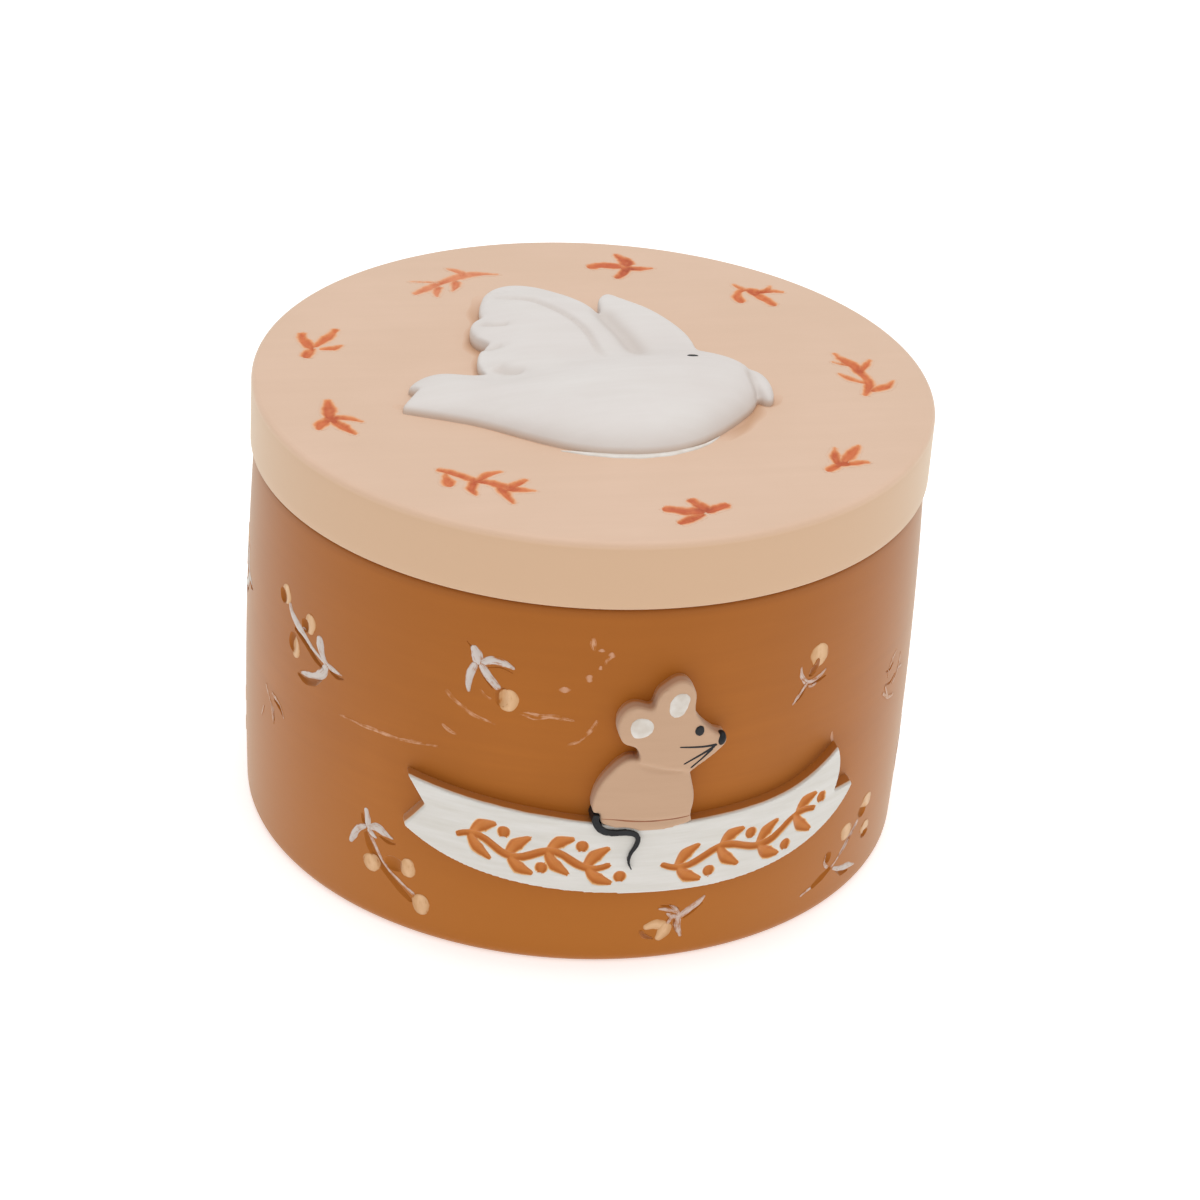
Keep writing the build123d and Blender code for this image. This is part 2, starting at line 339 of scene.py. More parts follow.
specked, specked_in, specked_out = new_group(
    "dust_specks",
    (("Vector", "Vector", None), ("Number", "Float", 160.0), ("Size", "Float", 0.06)),
    (("Mask", "Float"),),
)
cell_links = {"Vector": specked_in.outputs["Vector"], "Scale": specked_in.outputs["Number"]}
cells = node(specked, "TexVoronoi", cell_links)
chosen = node(specked, "SeparateColor", {0: cells.outputs["Color"]})
near = sum_of(specked, "LESS_THAN", cells.outputs["Distance"], specked_in.outputs["Size"])
rare = sum_of(specked, "LESS_THAN", chosen.outputs[0], 0.06)
specked.links.new(times(specked, near, rare), specked_out.inputs["Mask"])
print("shared effects:", [g.name for g in bpy.data.node_groups])

# %% [markdown]
# Paint that follows the relief has to know how far a point stands out of the wall. The wall's section is
# a circle so large that one square is enough to follow it: the distance from the axis, plus the drop of
# the wall away from its widest level, less the widest radius.

# %% How far a point stands out of the wall
relief, relief_in, relief_out = new_group(
    "relief_over_wall", (("Vector", "Vector", None),), (("Relief", "Float"),)
)
in_mm = scaled(relief, relief_in.outputs["Vector"], (1000, 1000, 1000))
from_axis = node(relief, "VectorMath", {0: scaled(relief, in_mm, (1, 1, 0))}, operation="LENGTH")
level = sum_of(relief, "SUBTRACT", node(relief, "SeparateXYZ", {0: in_mm}).outputs[2], arc_z)
drop = sum_of(relief, "DIVIDE", times(relief, level, level), 2 * arc_radius)
reach = sum_of(relief, "ADD", from_axis.outputs["Value"], drop)
standing = sum_of(relief, "SUBTRACT", reach, arc_x + arc_radius)
relief.links.new(standing, relief_out.inputs["Relief"])
print("the wall is widest at", round(arc_z, 2), "mm up, with radius", round(arc_x + arc_radius, 2))

# %% [markdown]
# Each painted casting gets its own finish from these groups. The coat is matt with a slight bloom, so
# it is rough and only weakly shiny, and the brush bands are felt more than they are seen: they lift
# the surface by a few thousandths of a millimetre and shift its colour a little.

# %% A finish for a painted casting
def place_group(tree, group, links):
    """A group placed in a material, with its inputs."""
    made = tree.nodes.new("ShaderNodeGroup")
    made.node_tree = group
    return fed(tree, made, links)


def object_place(tree):
    """Where a point lies on the object, in metres."""
    return node(tree, "TexCoord").outputs["Object"]


def level_in_mm(tree, place):
    """How far up a point lies."""
    return times(tree, node(tree, "SeparateXYZ", {0: place}).outputs[2], 1 / mm)


def attribute(tree, name):
    """A value that the mesh carries at its points."""
    return node(tree, "Attribute", attribute_name=name).outputs["Fac"]


def new_material(name, **values):
    """A material with values for its shader: the material, its tree and its shader."""
    material = bpy.data.materials.new(name)
    material.use_nodes = True
    shader = fed(material.node_tree, material.node_tree.nodes["Principled BSDF"], values)
    return material, material.node_tree, shader


def bumped(tree, shader, height, distance, strength):
    """Lets a height, with a size in millimetres, shade the surface."""
    bump = node(tree, "Bump", {"Height": height, "Distance": distance * mm, "Strength": strength})
    tree.links.new(bump.outputs["Normal"], shader.inputs["Normal"])


coat_roughness, bloom_roughness, bloom_tint = 0.55, 0.42, srgb(224, 232, 220)
speck_share, speck_brown = 0.35, srgb(90, 62, 45)


def painted(name, light, middle, dark, squeeze, band_depth=0.010, gloss=0.35, bloom=0.0):
    """A matt hand-painted coat: three shades mixed by bands and mottling, with rare dust specks."""
    material, tree, shader = new_material(name, **{
        "Roughness": coat_roughness, "Specular IOR Level": gloss,
        "Sheen Weight": bloom, "Sheen Roughness": bloom_roughness, "Sheen Tint": bloom_tint,
    })
    place = object_place(tree)
    coat = place_group(tree, brushed, {"Vector": place, "Squeeze": squeeze})
    specks_mask = place_group(tree, specked, {"Vector": place})
    colour = colour_mix(tree, ramp(tree, coat.outputs["Mottle"], 0.35, 0.65), middle, light)
    fast = times(tree, ramp(tree, coat.outputs["Bands"], 0.3, 0.7), 0.35)
    colour = colour_mix(tree, fast, colour, dark)
    colour = colour_mix(tree, times(tree, specks_mask.outputs["Mask"], speck_share), colour, speck_brown)
    tree.links.new(colour, shader.inputs["Base Color"])
    bumped(tree, shader, coat.outputs["Height"], band_depth, 0.8)
    return material, tree, shader, colour


def tinted(tree, shader, colour, tints):
    """Mixes tints into a coat, one after the other, each by a value that runs over a range."""
    for value, start, full, most, tint in tints:
        colour = colour_mix(tree, ramp(tree, value, start, full, 0.0, most), colour, tint)
    tree.links.new(colour, shader.inputs["Base Color"])


brown_coat = {
    "light": srgb(173, 100, 23), "middle": srgb(168, 96, 18), "dark": srgb(158, 89, 16),
    "squeeze": (70, 70, 800), "gloss": 0.22, "bloom": 0.5,
}
peach_coat = {
    "light": srgb(228, 194, 169), "middle": srgb(225, 191, 165), "dark": srgb(220, 186, 160),
    "squeeze": (70, 700, 300),
}
dove_coat = {
    "light": srgb(229, 224, 220), "middle": srgb(225, 218, 214), "dark": srgb(218, 211, 205),
    "squeeze": (90, 700, 400), "band_depth": 0.02,
}
brown_paint, tree, shader, colour = painted("caramel_brown_coat", **brown_coat)
place = object_place(tree)
stands = place_group(tree, relief, {"Vector": place}).outputs["Relief"]
# Painted shade: the coat darkens where the wall's grooves and pits sink in, on the outside of the wall only.
groove_shade_share = ramp(tree, stands, -0.03, -0.22, 0.0, 0.4)
outside = ramp(tree, stands, -2.5, -2.0)
colour = colour_mix(tree, times(tree, groove_shade_share, outside), colour, srgb(138, 78, 26))
up = level_in_mm(tree, place)
# Painted light and shade by height: a painted shadow just under the lid's overhang, the coat lighter towards
# the foot as if lit from the floor, and darker towards the top.
tinted(tree, shader, colour, (
    (up, body_height - 1.3, body_height - 0.2, 0.6, srgb(112, 58, 18)),
    (up, 20.0, 3.0, 1.0, srgb(174, 102, 22)),
    (up, 24.0, 38.0, 0.5, srgb(160, 90, 16)),
))

peach_paint, tree, shader, colour = painted("pale_peach_coat", **peach_coat, bloom=0.4)
up = level_in_mm(tree, object_place(tree))
# Painted shade: the lid's rounded edge and side are darker and yellower than its top.
tinted(tree, shader, colour, ((up, lid_top - 0.1, lid_top - 0.8, 1.0, srgb(209, 173, 140)),))

dove_paint, tree, shader, colour = painted("dove_white_coat", **dove_coat)
up = level_in_mm(tree, object_place(tree))
# Painted shade: the dove is browner just above the lid at its foot, and greyer where its creases are pressed
# in.
tinted(tree, shader, colour, (
    (up, lid_top + 0.85, lid_top + 0.2, 0.55, srgb(198, 164, 134)),
    (attribute(tree, "pressed"), 0.0, 1.0, 1.0, srgb(196, 182, 172)),
))
print("finishes:", [m.name for m in bpy.data.materials])

# %% [markdown]
# The cup and the lid are turned forms. Each starts as one point, the middle of a small plane, which is
# drawn out along half of its section in edit mode and then spun round the upright axis. Rows less than
# a millimetre apart on the wall and on the lid's top let the engraved grooves be cut without spoiling
# the smooth shading round them.

# %% Turned forms
def corner(x, z, radius, start, end, count=7):
    """Points round a corner of a section, from one angle to another, in degrees."""
    angles = [math.radians(start + (end - start) * k / (count - 1)) for k in range(count)]
    return [(x + radius * math.cos(a), z + radius * math.sin(a)) for a in angles]


def row(start, end, step):
    """Evenly spaced points of a section between two places, without the first one."""
    count = max(1, round(math.dist(start, end) / step))
    return [
        (start[0] + (end[0] - start[0]) * k / count, start[1] + (end[1] - start[1]) * k / count)
        for k in range(1, count + 1)
    ]


def turned(name, section, steps=360):
    """Draws one point out along a section and spins the line it leaves round the upright axis."""
    set_down()
    bpy.ops.mesh.primitive_plane_add(size=mm, location=(0, 0, 0))
    piece = bpy.context.object
    piece.name = name
    bpy.ops.object.mode_set(mode="EDIT")
    bpy.ops.mesh.select_all(action="SELECT")
    bpy.ops.mesh.merge(type="CENTER")
    here = Vector((0, 0, 0))
    for number, (x, z) in enumerate(section):
        there = Vector((x, 0, z)) * mm
        if number == 0:
            bpy.ops.transform.translate(value=there - here)
        else:
            bpy.ops.mesh.extrude_vertices_move(TRANSFORM_OT_translate={"value": there - here})
        here = there
    bpy.ops.mesh.select_all(action="SELECT")
    bpy.ops.mesh.spin(steps=steps, angle=2 * math.pi, center=(0, 0, 0), axis=(0, 0, 1))
    bpy.ops.mesh.select_all(action="SELECT")
    bpy.ops.mesh.remove_doubles(threshold=0.002 * mm)
    bpy.ops.mesh.normals_make_consistent(inside=False)
    bpy.ops.object.mode_set(mode="OBJECT")
    return piece


foot_round, rim_round, mouth_round, cavity_corner = 1.2, 0.6, 0.4, 3.0
wall_thickness, floor_thickness, cavity_draft = 4.0, 4.5, 0.6
mouth_radius = rim_radius - wall_thickness
wall_levels = np.linspace(foot_round, body_height - rim_round, 52)
foot_edge = float(wall_radius(foot_round))
rim_edge = float(wall_radius(body_height - rim_round))
cavity_foot = mouth_radius - cavity_draft
cup_section = [(0, 0), *row((0, 0), (foot_edge - foot_round, 0), 4)]
cup_section += corner(foot_edge - foot_round, foot_round, foot_round, -90, 0)[1:-1]
cup_section += [(float(wall_radius(z)), float(z)) for z in wall_levels]
cup_section += corner(rim_edge - rim_round, body_height - rim_round, rim_round, 0, 90)[1:]
cup_section += row(cup_section[-1], (mouth_radius + mouth_round, body_height), 1)
cup_section += corner(mouth_radius + mouth_round, body_height - mouth_round, mouth_round, 90, 180)[1:]
corner_level = floor_thickness + cavity_corner
cup_section += row(cup_section[-1], (cavity_foot, corner_level), 3)
cup_section += corner(cavity_foot - cavity_corner, corner_level, cavity_corner, 0, -90)[1:]
cup_section += row(cup_section[-1], (0, floor_thickness), 4)
cup = turned("cup_casting", cup_section)
report(cup)

ring_clearance, ring_width, ring_depth, recess_depth = 0.4, 2.6, 3.0, 2.4
lid_round, edge_round, ring_round = 0.6, 0.3, 0.4
ring_radius = mouth_radius - ring_clearance
ring_inside = ring_radius - ring_width
ring_foot = body_height - ring_depth
flat_edge, edge_foot = lid_radius - lid_round, body_height + edge_round
lid_section = [(0, lid_top), *row((0, lid_top), (flat_edge, lid_top), 1.0)]
lid_section += corner(flat_edge, lid_top - lid_round, lid_round, 90, 0, 8)[1:]
lid_section += row(lid_section[-1], (lid_radius, edge_foot), 1.0)
lid_section += corner(lid_radius - edge_round, edge_foot, edge_round, 0, -90, 5)[1:]
lid_section += row(lid_section[-1], (ring_radius, body_height), 1.5)
lid_section += row(lid_section[-1], (ring_radius, ring_foot + ring_round), 1.3)
lid_section += corner(ring_radius - ring_round, ring_foot + ring_round, ring_round, 0, -90, 5)[1:]
lid_section += row(lid_section[-1], (ring_inside + ring_round, ring_foot), 1)
lid_section += corner(ring_inside + ring_round, ring_foot + ring_round, ring_round, -90, -180, 5)[1:]
lid_section += row(lid_section[-1], (ring_inside, body_height + recess_depth), 1.5)
lid_section += row(lid_section[-1], (0, body_height + recess_depth), 3)
lid = turned("lid_casting", lid_section)
report(lid)

# %% [markdown]
# The sprigs were scratched into the mould, so the castings have shallow grooves and small round pits,
# and the painter then went over them freehand. A brush dab is a grid laid along a smooth line: its
# long way follows the line and its short way is as wide as the stroke there. The same dab can be a
# cutter that sinks a groove, or a thin skin of paint that dips into whatever groove lies under it.

# %% Brush lines
def smooth_line(points, spacing=0.12):
    """A smooth line through points of a flat plan, sampled evenly."""
    points = np.array(points, float)
    ends = np.vstack((2 * points[0] - points[1], points, 2 * points[-1] - points[-2]))
    pieces = []
    for a, b, c, d in zip(ends, ends[1:], ends[2:], ends[3:]):
        t = np.linspace(0, 1, 24, endpoint=False)[:, None]
        pieces.append(
            0.5 * (2 * b + (c - a) * t + (2 * a - 5 * b + 4 * c - d) * t**2 + (3 * b - a - 3 * c + d) * t**3)
        )
    line = np.vstack((*pieces, points[-1:]))
    run = np.concatenate(([0], np.cumsum(np.linalg.norm(np.diff(line, axis=0), axis=1))))
    count = max(8, int(run[-1] / spacing))
    even = np.linspace(0, run[-1], count)
    return np.column_stack((np.interp(even, run, line[:, 0]), np.interp(even, run, line[:, 1]))), even


def dab(points, widths, wobble=0.07, seed=1):
    """One brush stroke or groove of a flat plan: its line, the way across it and its half widths."""
    line, run = smooth_line(points)
    along = np.gradient(line, axis=0)
    along /= np.linalg.norm(along, axis=1)[:, None]
    across = np.column_stack((-along[:, 1], along[:, 0]))
    half = np.interp(run / run[-1], np.linspace(0, 1, len(widths)), widths) / 2
    for reach, gone in ((widths[0] / 2, run), (widths[-1] / 2, run[-1] - run)):
        if reach > 0.05:
            half *= np.sqrt(np.clip(1 - (1 - np.clip(gone / reach, 0, 1)) ** 2, 0.0004, 1))
    luck = random.Random(seed)
    waves = [(luck.uniform(0.8, 2.4), luck.uniform(0, 6.3), luck.uniform(0.3, 1)) for _ in range(6)]
    left = sum(size * np.sin(speed * run + shift) for speed, shift, size in waves[:3])
    right = sum(size * np.sin(speed * run + shift) for speed, shift, size in waves[3:])
    return {"line": line, "across": across, "half": half, "sides": (1 + wobble * left, 1 + wobble * right)}


def blob(x, y, wide, tall, seed=1, wobble=0.05):
    """A round dab, such as a berry, as a short stroke whose widths follow a circle."""
    made = dab([(x, y - tall / 2), (x, y), (x, y + tall / 2)], [wide] * 3, 0, seed)
    share = np.linspace(-1, 1, len(made["line"]))
    made["half"] = wide / 2 * np.sqrt(np.clip(1 - share**2, 0.0004, 1))
    luck = random.Random(seed)
    made["sides"] = tuple(1 + wobble * np.sin(3.2 * share + luck.uniform(0, 6.3)) for _ in range(2))
    return made


def sunk(flat, grooves):
    """How deep the grooves lie under places of the flat plan, in mm."""
    depth = np.zeros(len(flat))
    for groove in grooves:
        gap = ((flat[:, None, :] - groove["line"][None, :, :]) ** 2).sum(-1)
        nearest = gap.argmin(1)
        share = np.sqrt(gap.min(1)) / np.maximum(groove["half"][nearest], 1e-6)
        depth = np.maximum(depth, groove["deep"][nearest] * np.clip(1 - share**2, 0, 1))
    return depth


print("a line of 3 points gives", len(smooth_line([(0, 0), (2, 1), (4, 0)])[0]), "samples")

# %% [markdown]
# Both the cutters and the paint start as a grid primitive, whose rows are moved onto the dab. The
# grid's own UV map then runs along and across the stroke, which the paint uses for its thin ends and
# edges. Extruding the moved grid straight through the surface closes it, so a cutter is a solid for
# the Boolean modifier, and a skin of paint has a hidden underside.

# %% Grids laid along dabs
def laid_grid(name, stroke, surface, heights, columns, close=-0.12):
    """A grid primitive moved onto a dab, at given heights, and extruded to close it."""
    rows = len(stroke["line"])
    set_down()
    bpy.ops.mesh.primitive_grid_add(x_subdivisions=rows - 1, y_subdivisions=columns - 1, size=1)
    piece = bpy.context.object
    piece.name = name
    start = rows_of(piece)
    index = np.rint((start[:, 0] + 0.5) * (rows - 1)).astype(int)
    share = start[:, 1] * 2
    share = np.sign(share) * np.abs(share) ** 0.75
    sides = np.where(share > 0, stroke["sides"][0][index], stroke["sides"][1][index])
    flat = stroke["line"][index] + stroke["across"][index] * (share * stroke["half"][index] * sides)[:, None]
    moved = surface(flat, heights(flat, share, index))
    piece.data.vertices.foreach_set("co", moved.ravel())
    piece.data.update()
    middle = stroke["line"][rows // 2 : rows // 2 + 1]
    outwards = Vector((surface(middle, np.ones(1)) - surface(middle, np.zeros(1)))[0]) / mm
    bpy.ops.object.mode_set(mode="EDIT")
    bpy.ops.mesh.select_all(action="SELECT")
    bpy.ops.mesh.extrude_region_move(TRANSFORM_OT_translate={"value": outwards * close * mm})
    bpy.ops.mesh.select_all(action="SELECT")
    bpy.ops.mesh.remove_doubles(threshold=0.001 * mm)
    bpy.ops.mesh.normals_make_consistent(inside=False)
    bpy.ops.object.mode_set(mode="OBJECT")
    return piece


edge_dip = 0.03


def groove(points, widths, deep, seed=1):
    """An engraved stroke: a dab with a depth that runs out towards its ends."""
    made = dab(points, widths, 0.03, seed)
    made["deep"] = deep * np.clip(made["half"] / made["half"].max(), 0, 1) ** 0.7
    return made


def pit(x, y, wide, tall, deep, seed=1):
    """An engraved round pit."""
    made = blob(x, y, wide, tall, seed)
    made["deep"] = deep * np.clip(made["half"] / made["half"].max(), 0, 1)
    return made


def cutter(name, stroke, surface, extra=0.0):
    """A solid that sinks a groove: its underside is the groove, and its top stands clear."""
    depth = stroke["deep"] + extra * (stroke["deep"] > 0.02)

    def heights(flat, share, index):
        return 0.01 - depth[index] * (1 - share**2)

    return laid_grid(name, stroke, surface, heights, 7, close=0.6)


def into_grooves(flat, grooves):
    """How far a skin of paint dips where grooves lie under it."""
    return 0.9 * np.maximum(sunk(flat, grooves) - 0.05, 0)


def skin(name, stroke, surface, grooves, thick, lift=0.0):
    """A thin skin of paint that follows the grooves under it, and whose edge dips into the surface."""
    def heights(flat, share, index):
        crown = thick * (1 - np.abs(share) ** 6) * np.clip(stroke["half"][index] * 6, 0.4, 1)
        return lift + crown - edge_dip * (np.abs(share) > 0.98) - into_grooves(flat, grooves)

    columns = 15 if stroke["half"].max() > 0.7 else 9
    return laid_grid(name, stroke, surface, heights, columns)


def united(name, pieces):
    """Unites overlapping closed pieces into one, so that no piece has walls inside another."""
    for other in pieces[1:]:
        work_with(pieces[0], "BOOLEAN", object=other, operation="UNION", solver="MANIFOLD")
        bpy.data.objects.remove(other)
    pieces[0].name = name
    pieces[0].data.name = name
    pieces[0].data.materials.clear()
    return pieces[0]


def engrave(casting, cutters, name):
    """Cuts united cutters out of a casting with one Boolean."""
    tool = united(name, cutters)
    work_with(casting, "BOOLEAN", object=tool, operation="DIFFERENCE", solver="MANIFOLD")
    casting.data.materials.clear()
    bpy.data.objects.remove(tool)
    report(casting)


print("grids are ready")

# %% [markdown]
# Thin paint shows what is under it. A dab's finish is therefore the coat of the casting with a second
# colour over it, and the share of that second colour comes from the stroke's own UV map: full in the
# middle, broken into brush streaks towards the edges and ends. The group gives that share, and a
# second value that darkens one side of the stroke, where the paint pooled.

# %% The brush dab effect
brushwork, brushwork_in, brushwork_out = new_group(
    "brush_dab",
    (
        ("UV", "Vector", None),
        ("Vector", "Vector", None),
        ("Cover", "Float", 0.9),
        ("Ragged", "Float", 0.35),
        ("Streak Size", "Float", 900.0),
    ),
    (("Share", "Float"), ("Pool", "Float"), ("Rim", "Float"), ("Soft", "Float")),
)
dab_uv, dab_place = brushwork_in.outputs["UV"], brushwork_in.outputs["Vector"]
ways = node(brushwork, "SeparateXYZ", {0: dab_uv})
off_centre, off_middle = (
    sum_of(brushwork, "ABSOLUTE", sum_of(brushwork, "MULTIPLY_ADD", ways.outputs[k], 2.0, -1.0), 0.0)
    for k in (0, 1)
)


def towards_edge(across, along):
    """How near a point is to the stroke's edge: one power for the sides and one for the ends."""
    sides = sum_of(brushwork, "POWER", off_middle, across)
    return sum_of(brushwork, "MAXIMUM", sides, sum_of(brushwork, "POWER", off_centre, along))


patches = noise(brushwork, dab_place, brushwork_in.outputs["Streak Size"], 3.0)
long_ways = scaled(brushwork, dab_uv, (1.4, 7.0, 0.0))
drawn_out = {0: dab_place, 1: (160, 160, 160), 2: long_ways}
shifted = node(brushwork, "VectorMath", drawn_out, operation="MULTIPLY_ADD")
hairs = noise(brushwork, shifted.outputs[0], 1.6, 2.0)
both = sum_of(brushwork, "MULTIPLY_ADD", hairs, 0.55, times(brushwork, patches, 0.45))
streaks = sum_of(brushwork, "MULTIPLY_ADD", both, 2.2, -0.6)
rough_rim = times(brushwork, towards_edge(3.0, 10.0), brushwork_in.outputs["Ragged"])
wanted = sum_of(brushwork, "SUBTRACT", brushwork_in.outputs["Cover"], rough_rim)
patchy = sum_of(brushwork, "MULTIPLY_ADD", both, 1.6, -0.8)
well_inside = sum_of(brushwork, "SUBTRACT", 1.0, towards_edge(1.5, 3.0), clamp=True)
dab_values = {
    "Share": ramp(brushwork, sum_of(brushwork, "SUBTRACT", wanted, streaks), -0.1, 0.2),
    "Pool": ramp(brushwork, sum_of(brushwork, "ADD", ways.outputs[1], patchy), 0.35, 0.95),
    "Rim": towards_edge(1.2, 8.0),
    "Soft": sum_of(brushwork, "POWER", well_inside, 1.6),
}
for label, value in dab_values.items():
    brushwork.links.new(value, brushwork_out.inputs[label])


def dabbed(name, under, over, pooled, cover=0.9, ragged=0.35, streak_size=1500, rim=None, painted_shadow=None,
           feather=0.0, depth=0.6):
    """The finish of a thin dab: a second colour brushed over the casting's coat, or a painted shadow that
    fades out over it.
    """
    material, tree, shader, colour = painted(name, **under)
    uv = node(tree, "UVMap").outputs["UV"]
    brush = place_group(tree, brushwork, {
        "UV": uv, "Vector": object_place(tree), "Cover": cover, "Ragged": ragged, "Streak Size": streak_size,
    })
    paint = colour_mix(tree, times(tree, brush.outputs["Pool"], depth), srgb(*over), srgb(*pooled))
    if rim is not None:
        paint = colour_mix(tree, brush.outputs["Rim"], paint, srgb(*rim))
    share = brush.outputs["Share"] if painted_shadow is None else times(tree, brush.outputs["Soft"], painted_shadow)
    if feather:
        share = times(tree, share, ramp(tree, brush.outputs["Rim"], 1.0, 1.0 - feather))
    tree.links.new(colour_mix(tree, share, colour, paint), shader.inputs["Base Color"])
    return material


dab_finishes = {
    "leaf_white": (brown_coat, (204, 193, 186), (176, 158, 146), {"cover": 0.8, "ragged": 0.4}),
    # Dark brown dabs laid over grooves and pits: painted shade.
    "painted_groove_shadow": (
        brown_coat, (156, 92, 42), (140, 78, 32), {"cover": 0.8, "ragged": 0.7, "feather": 0.7},
    ),
    # A soft brown painted shadow on the lid round the dove's foot.
    "dove_shadow_paint": (peach_coat, (192, 142, 100), (172, 118, 76), {"streak_size": 500, "painted_shadow": 0.6}),
    "spot_pink": (
        brown_coat, (200, 148, 116), (186, 128, 88),
        {"cover": 0.95, "ragged": 0.9, "rim": (186, 124, 76), "feather": 0.8},
    ),
    "thin_white": (brown_coat, (204, 182, 170), (184, 156, 140), {"cover": 0.64, "ragged": 0.3}),
    "faint_white": (brown_coat, (196, 160, 138), (188, 146, 120), {"cover": 0.6, "ragged": 0.3}),
    "berry_peach": (
        brown_coat, (223, 182, 140), (198, 148, 98),
        {"cover": 1.0, "ragged": 0.6, "streak_size": 1400, "rim": (196, 146, 96), "depth": 0.75},
    ),
    "scuff_pink": (brown_coat, (204, 152, 116), (196, 140, 104), {"cover": 0.52, "ragged": 0.25}),
}
dab_paints = {
    name: dabbed(name, under, over, pooled, **more)
    for name, (under, over, pooled, more) in dab_finishes.items()
}
print("finishes so far:", [m.name for m in bpy.data.materials])

# %% [markdown]
# The strokes of a sprig on the lid run into one another while the paint is wet. Separate skins could
# not show that, so a whole sprig shares one fine grid. Every point of it knows how full of paint it
# is, which runs out softly at a stroke's edge, and whether two strokes lie over each other there,
# which makes the orange deeper. What carries no paint is deleted.

# %% One skin for several strokes
grid_cell, grid_margin, soft_edge, wet_lift = 0.12, 1.4, 0.75, 0.03


def shared_skin(name, strokes, surface, grooves):
    """A fine grid over several strokes, with its share of paint and of doubled paint at each point."""
    ends = np.vstack([one["line"] for one in strokes])
    low, high = ends.min(0) - grid_margin, ends.max(0) + grid_margin
    across, up = (int(n) for n in np.ceil((high - low) / grid_cell))
    set_down()
    bpy.ops.mesh.primitive_grid_add(x_subdivisions=across, y_subdivisions=up, size=1)
    piece = bpy.context.object
    piece.name = name
    flat = low + (rows_of(piece)[:, :2] + 0.5) * (high - low)
    fullest, total = np.zeros(len(flat)), np.zeros(len(flat))
    for one in strokes:
        away = flat[:, None, :] - one["line"][None, :, :]
        gap = (away**2).sum(-1)
        nearest = gap.argmin(1)
        side = (away[np.arange(len(flat)), nearest] * one["across"][nearest]).sum(1) > 0
        half = one["half"][nearest] * np.where(side, one["sides"][0][nearest], one["sides"][1][nearest])
        paint = np.clip(0.5 + (half - np.sqrt(gap.min(1))) / soft_edge, 0, 1)
        fullest = np.maximum(fullest, paint)
        total += paint
    height = wet_lift * np.clip(fullest * 5, 0, 1) - edge_dip * (fullest < 0.05) - into_grooves(flat, grooves)
    piece.data.vertices.foreach_set("co", surface(flat, height).ravel())
    mark(piece, "paint", fullest)
    mark(piece, "doubled", np.clip(total - fullest, 0, 1))
    bpy.ops.object.mode_set(mode="EDIT")
    bpy.ops.mesh.select_mode(type="VERT")
    bpy.ops.mesh.select_all(action="DESELECT")
    bpy.ops.object.mode_set(mode="OBJECT")
    piece.data.vertices.foreach_set("select", fullest <= 0)
    bpy.ops.object.mode_set(mode="EDIT")
    bpy.ops.mesh.delete(type="VERT")
    bpy.ops.mesh.select_all(action="SELECT")
    bpy.ops.mesh.delete_loose(use_verts=True, use_edges=True, use_faces=False)
    bpy.ops.mesh.select_all(action="SELECT")
    bpy.ops.mesh.extrude_region_move(TRANSFORM_OT_translate={"value": Vector((0, 0, -0.12)) * mm})
    bpy.ops.mesh.select_all(action="SELECT")
    bpy.ops.mesh.normals_make_consistent(inside=False)
    bpy.ops.object.mode_set(mode="OBJECT")
    return piece


def wet_paint(name, over, deeper, rim):
    """Orange on the lid's coat where a skin is full: paler at its edge, deeper where doubled."""
    material, tree, shader, colour = painted(name, **peach_coat)
    place = object_place(tree)
    fine, broad = noise(tree, place, 1300.0, 3.0), noise(tree, place, 450.0, 2.0)
    wandering = sum_of(tree, "ADD", attribute(tree, "paint"), sum_of(tree, "MULTIPLY_ADD", fine, 0.6, -0.3))
    tone = sum_of(tree, "MULTIPLY_ADD", broad, 2.4, -1.0)
    tone = sum_of(tree, "ADD", times(tree, attribute(tree, "doubled"), 0.7), tone, clamp=True)
    paint = colour_mix(tree, tone, srgb(*over), srgb(*deeper))
    paint = colour_mix(tree, ramp(tree, wandering, 1.0, 0.5, 0.0, 0.9), paint, srgb(*rim))
    full = colour_mix(tree, ramp(tree, wandering, 0.28, 0.72), colour, paint)
    tree.links.new(full, shader.inputs["Base Color"])
    return material


sprig_orange = wet_paint("sprig_orange", (216, 118, 70), (194, 92, 52), (240, 168, 110))
sprig_deep = wet_paint("sprig_deep_orange", (208, 106, 64), (182, 84, 50), (236, 156, 98))
sprig_pale = wet_paint("sprig_pale_orange", (224, 142, 102), (206, 114, 76), (238, 176, 132))
print("wet paints:", sprig_orange.name, sprig_deep.name, sprig_pale.name)

# %% [markdown]
# Nine sprigs are engraved round the lid and painted orange. No two are alike, since each was cut by
# hand, so each has its own list of strokes: points in millimetres across the lid, and the widths that
# the stroke has along them.

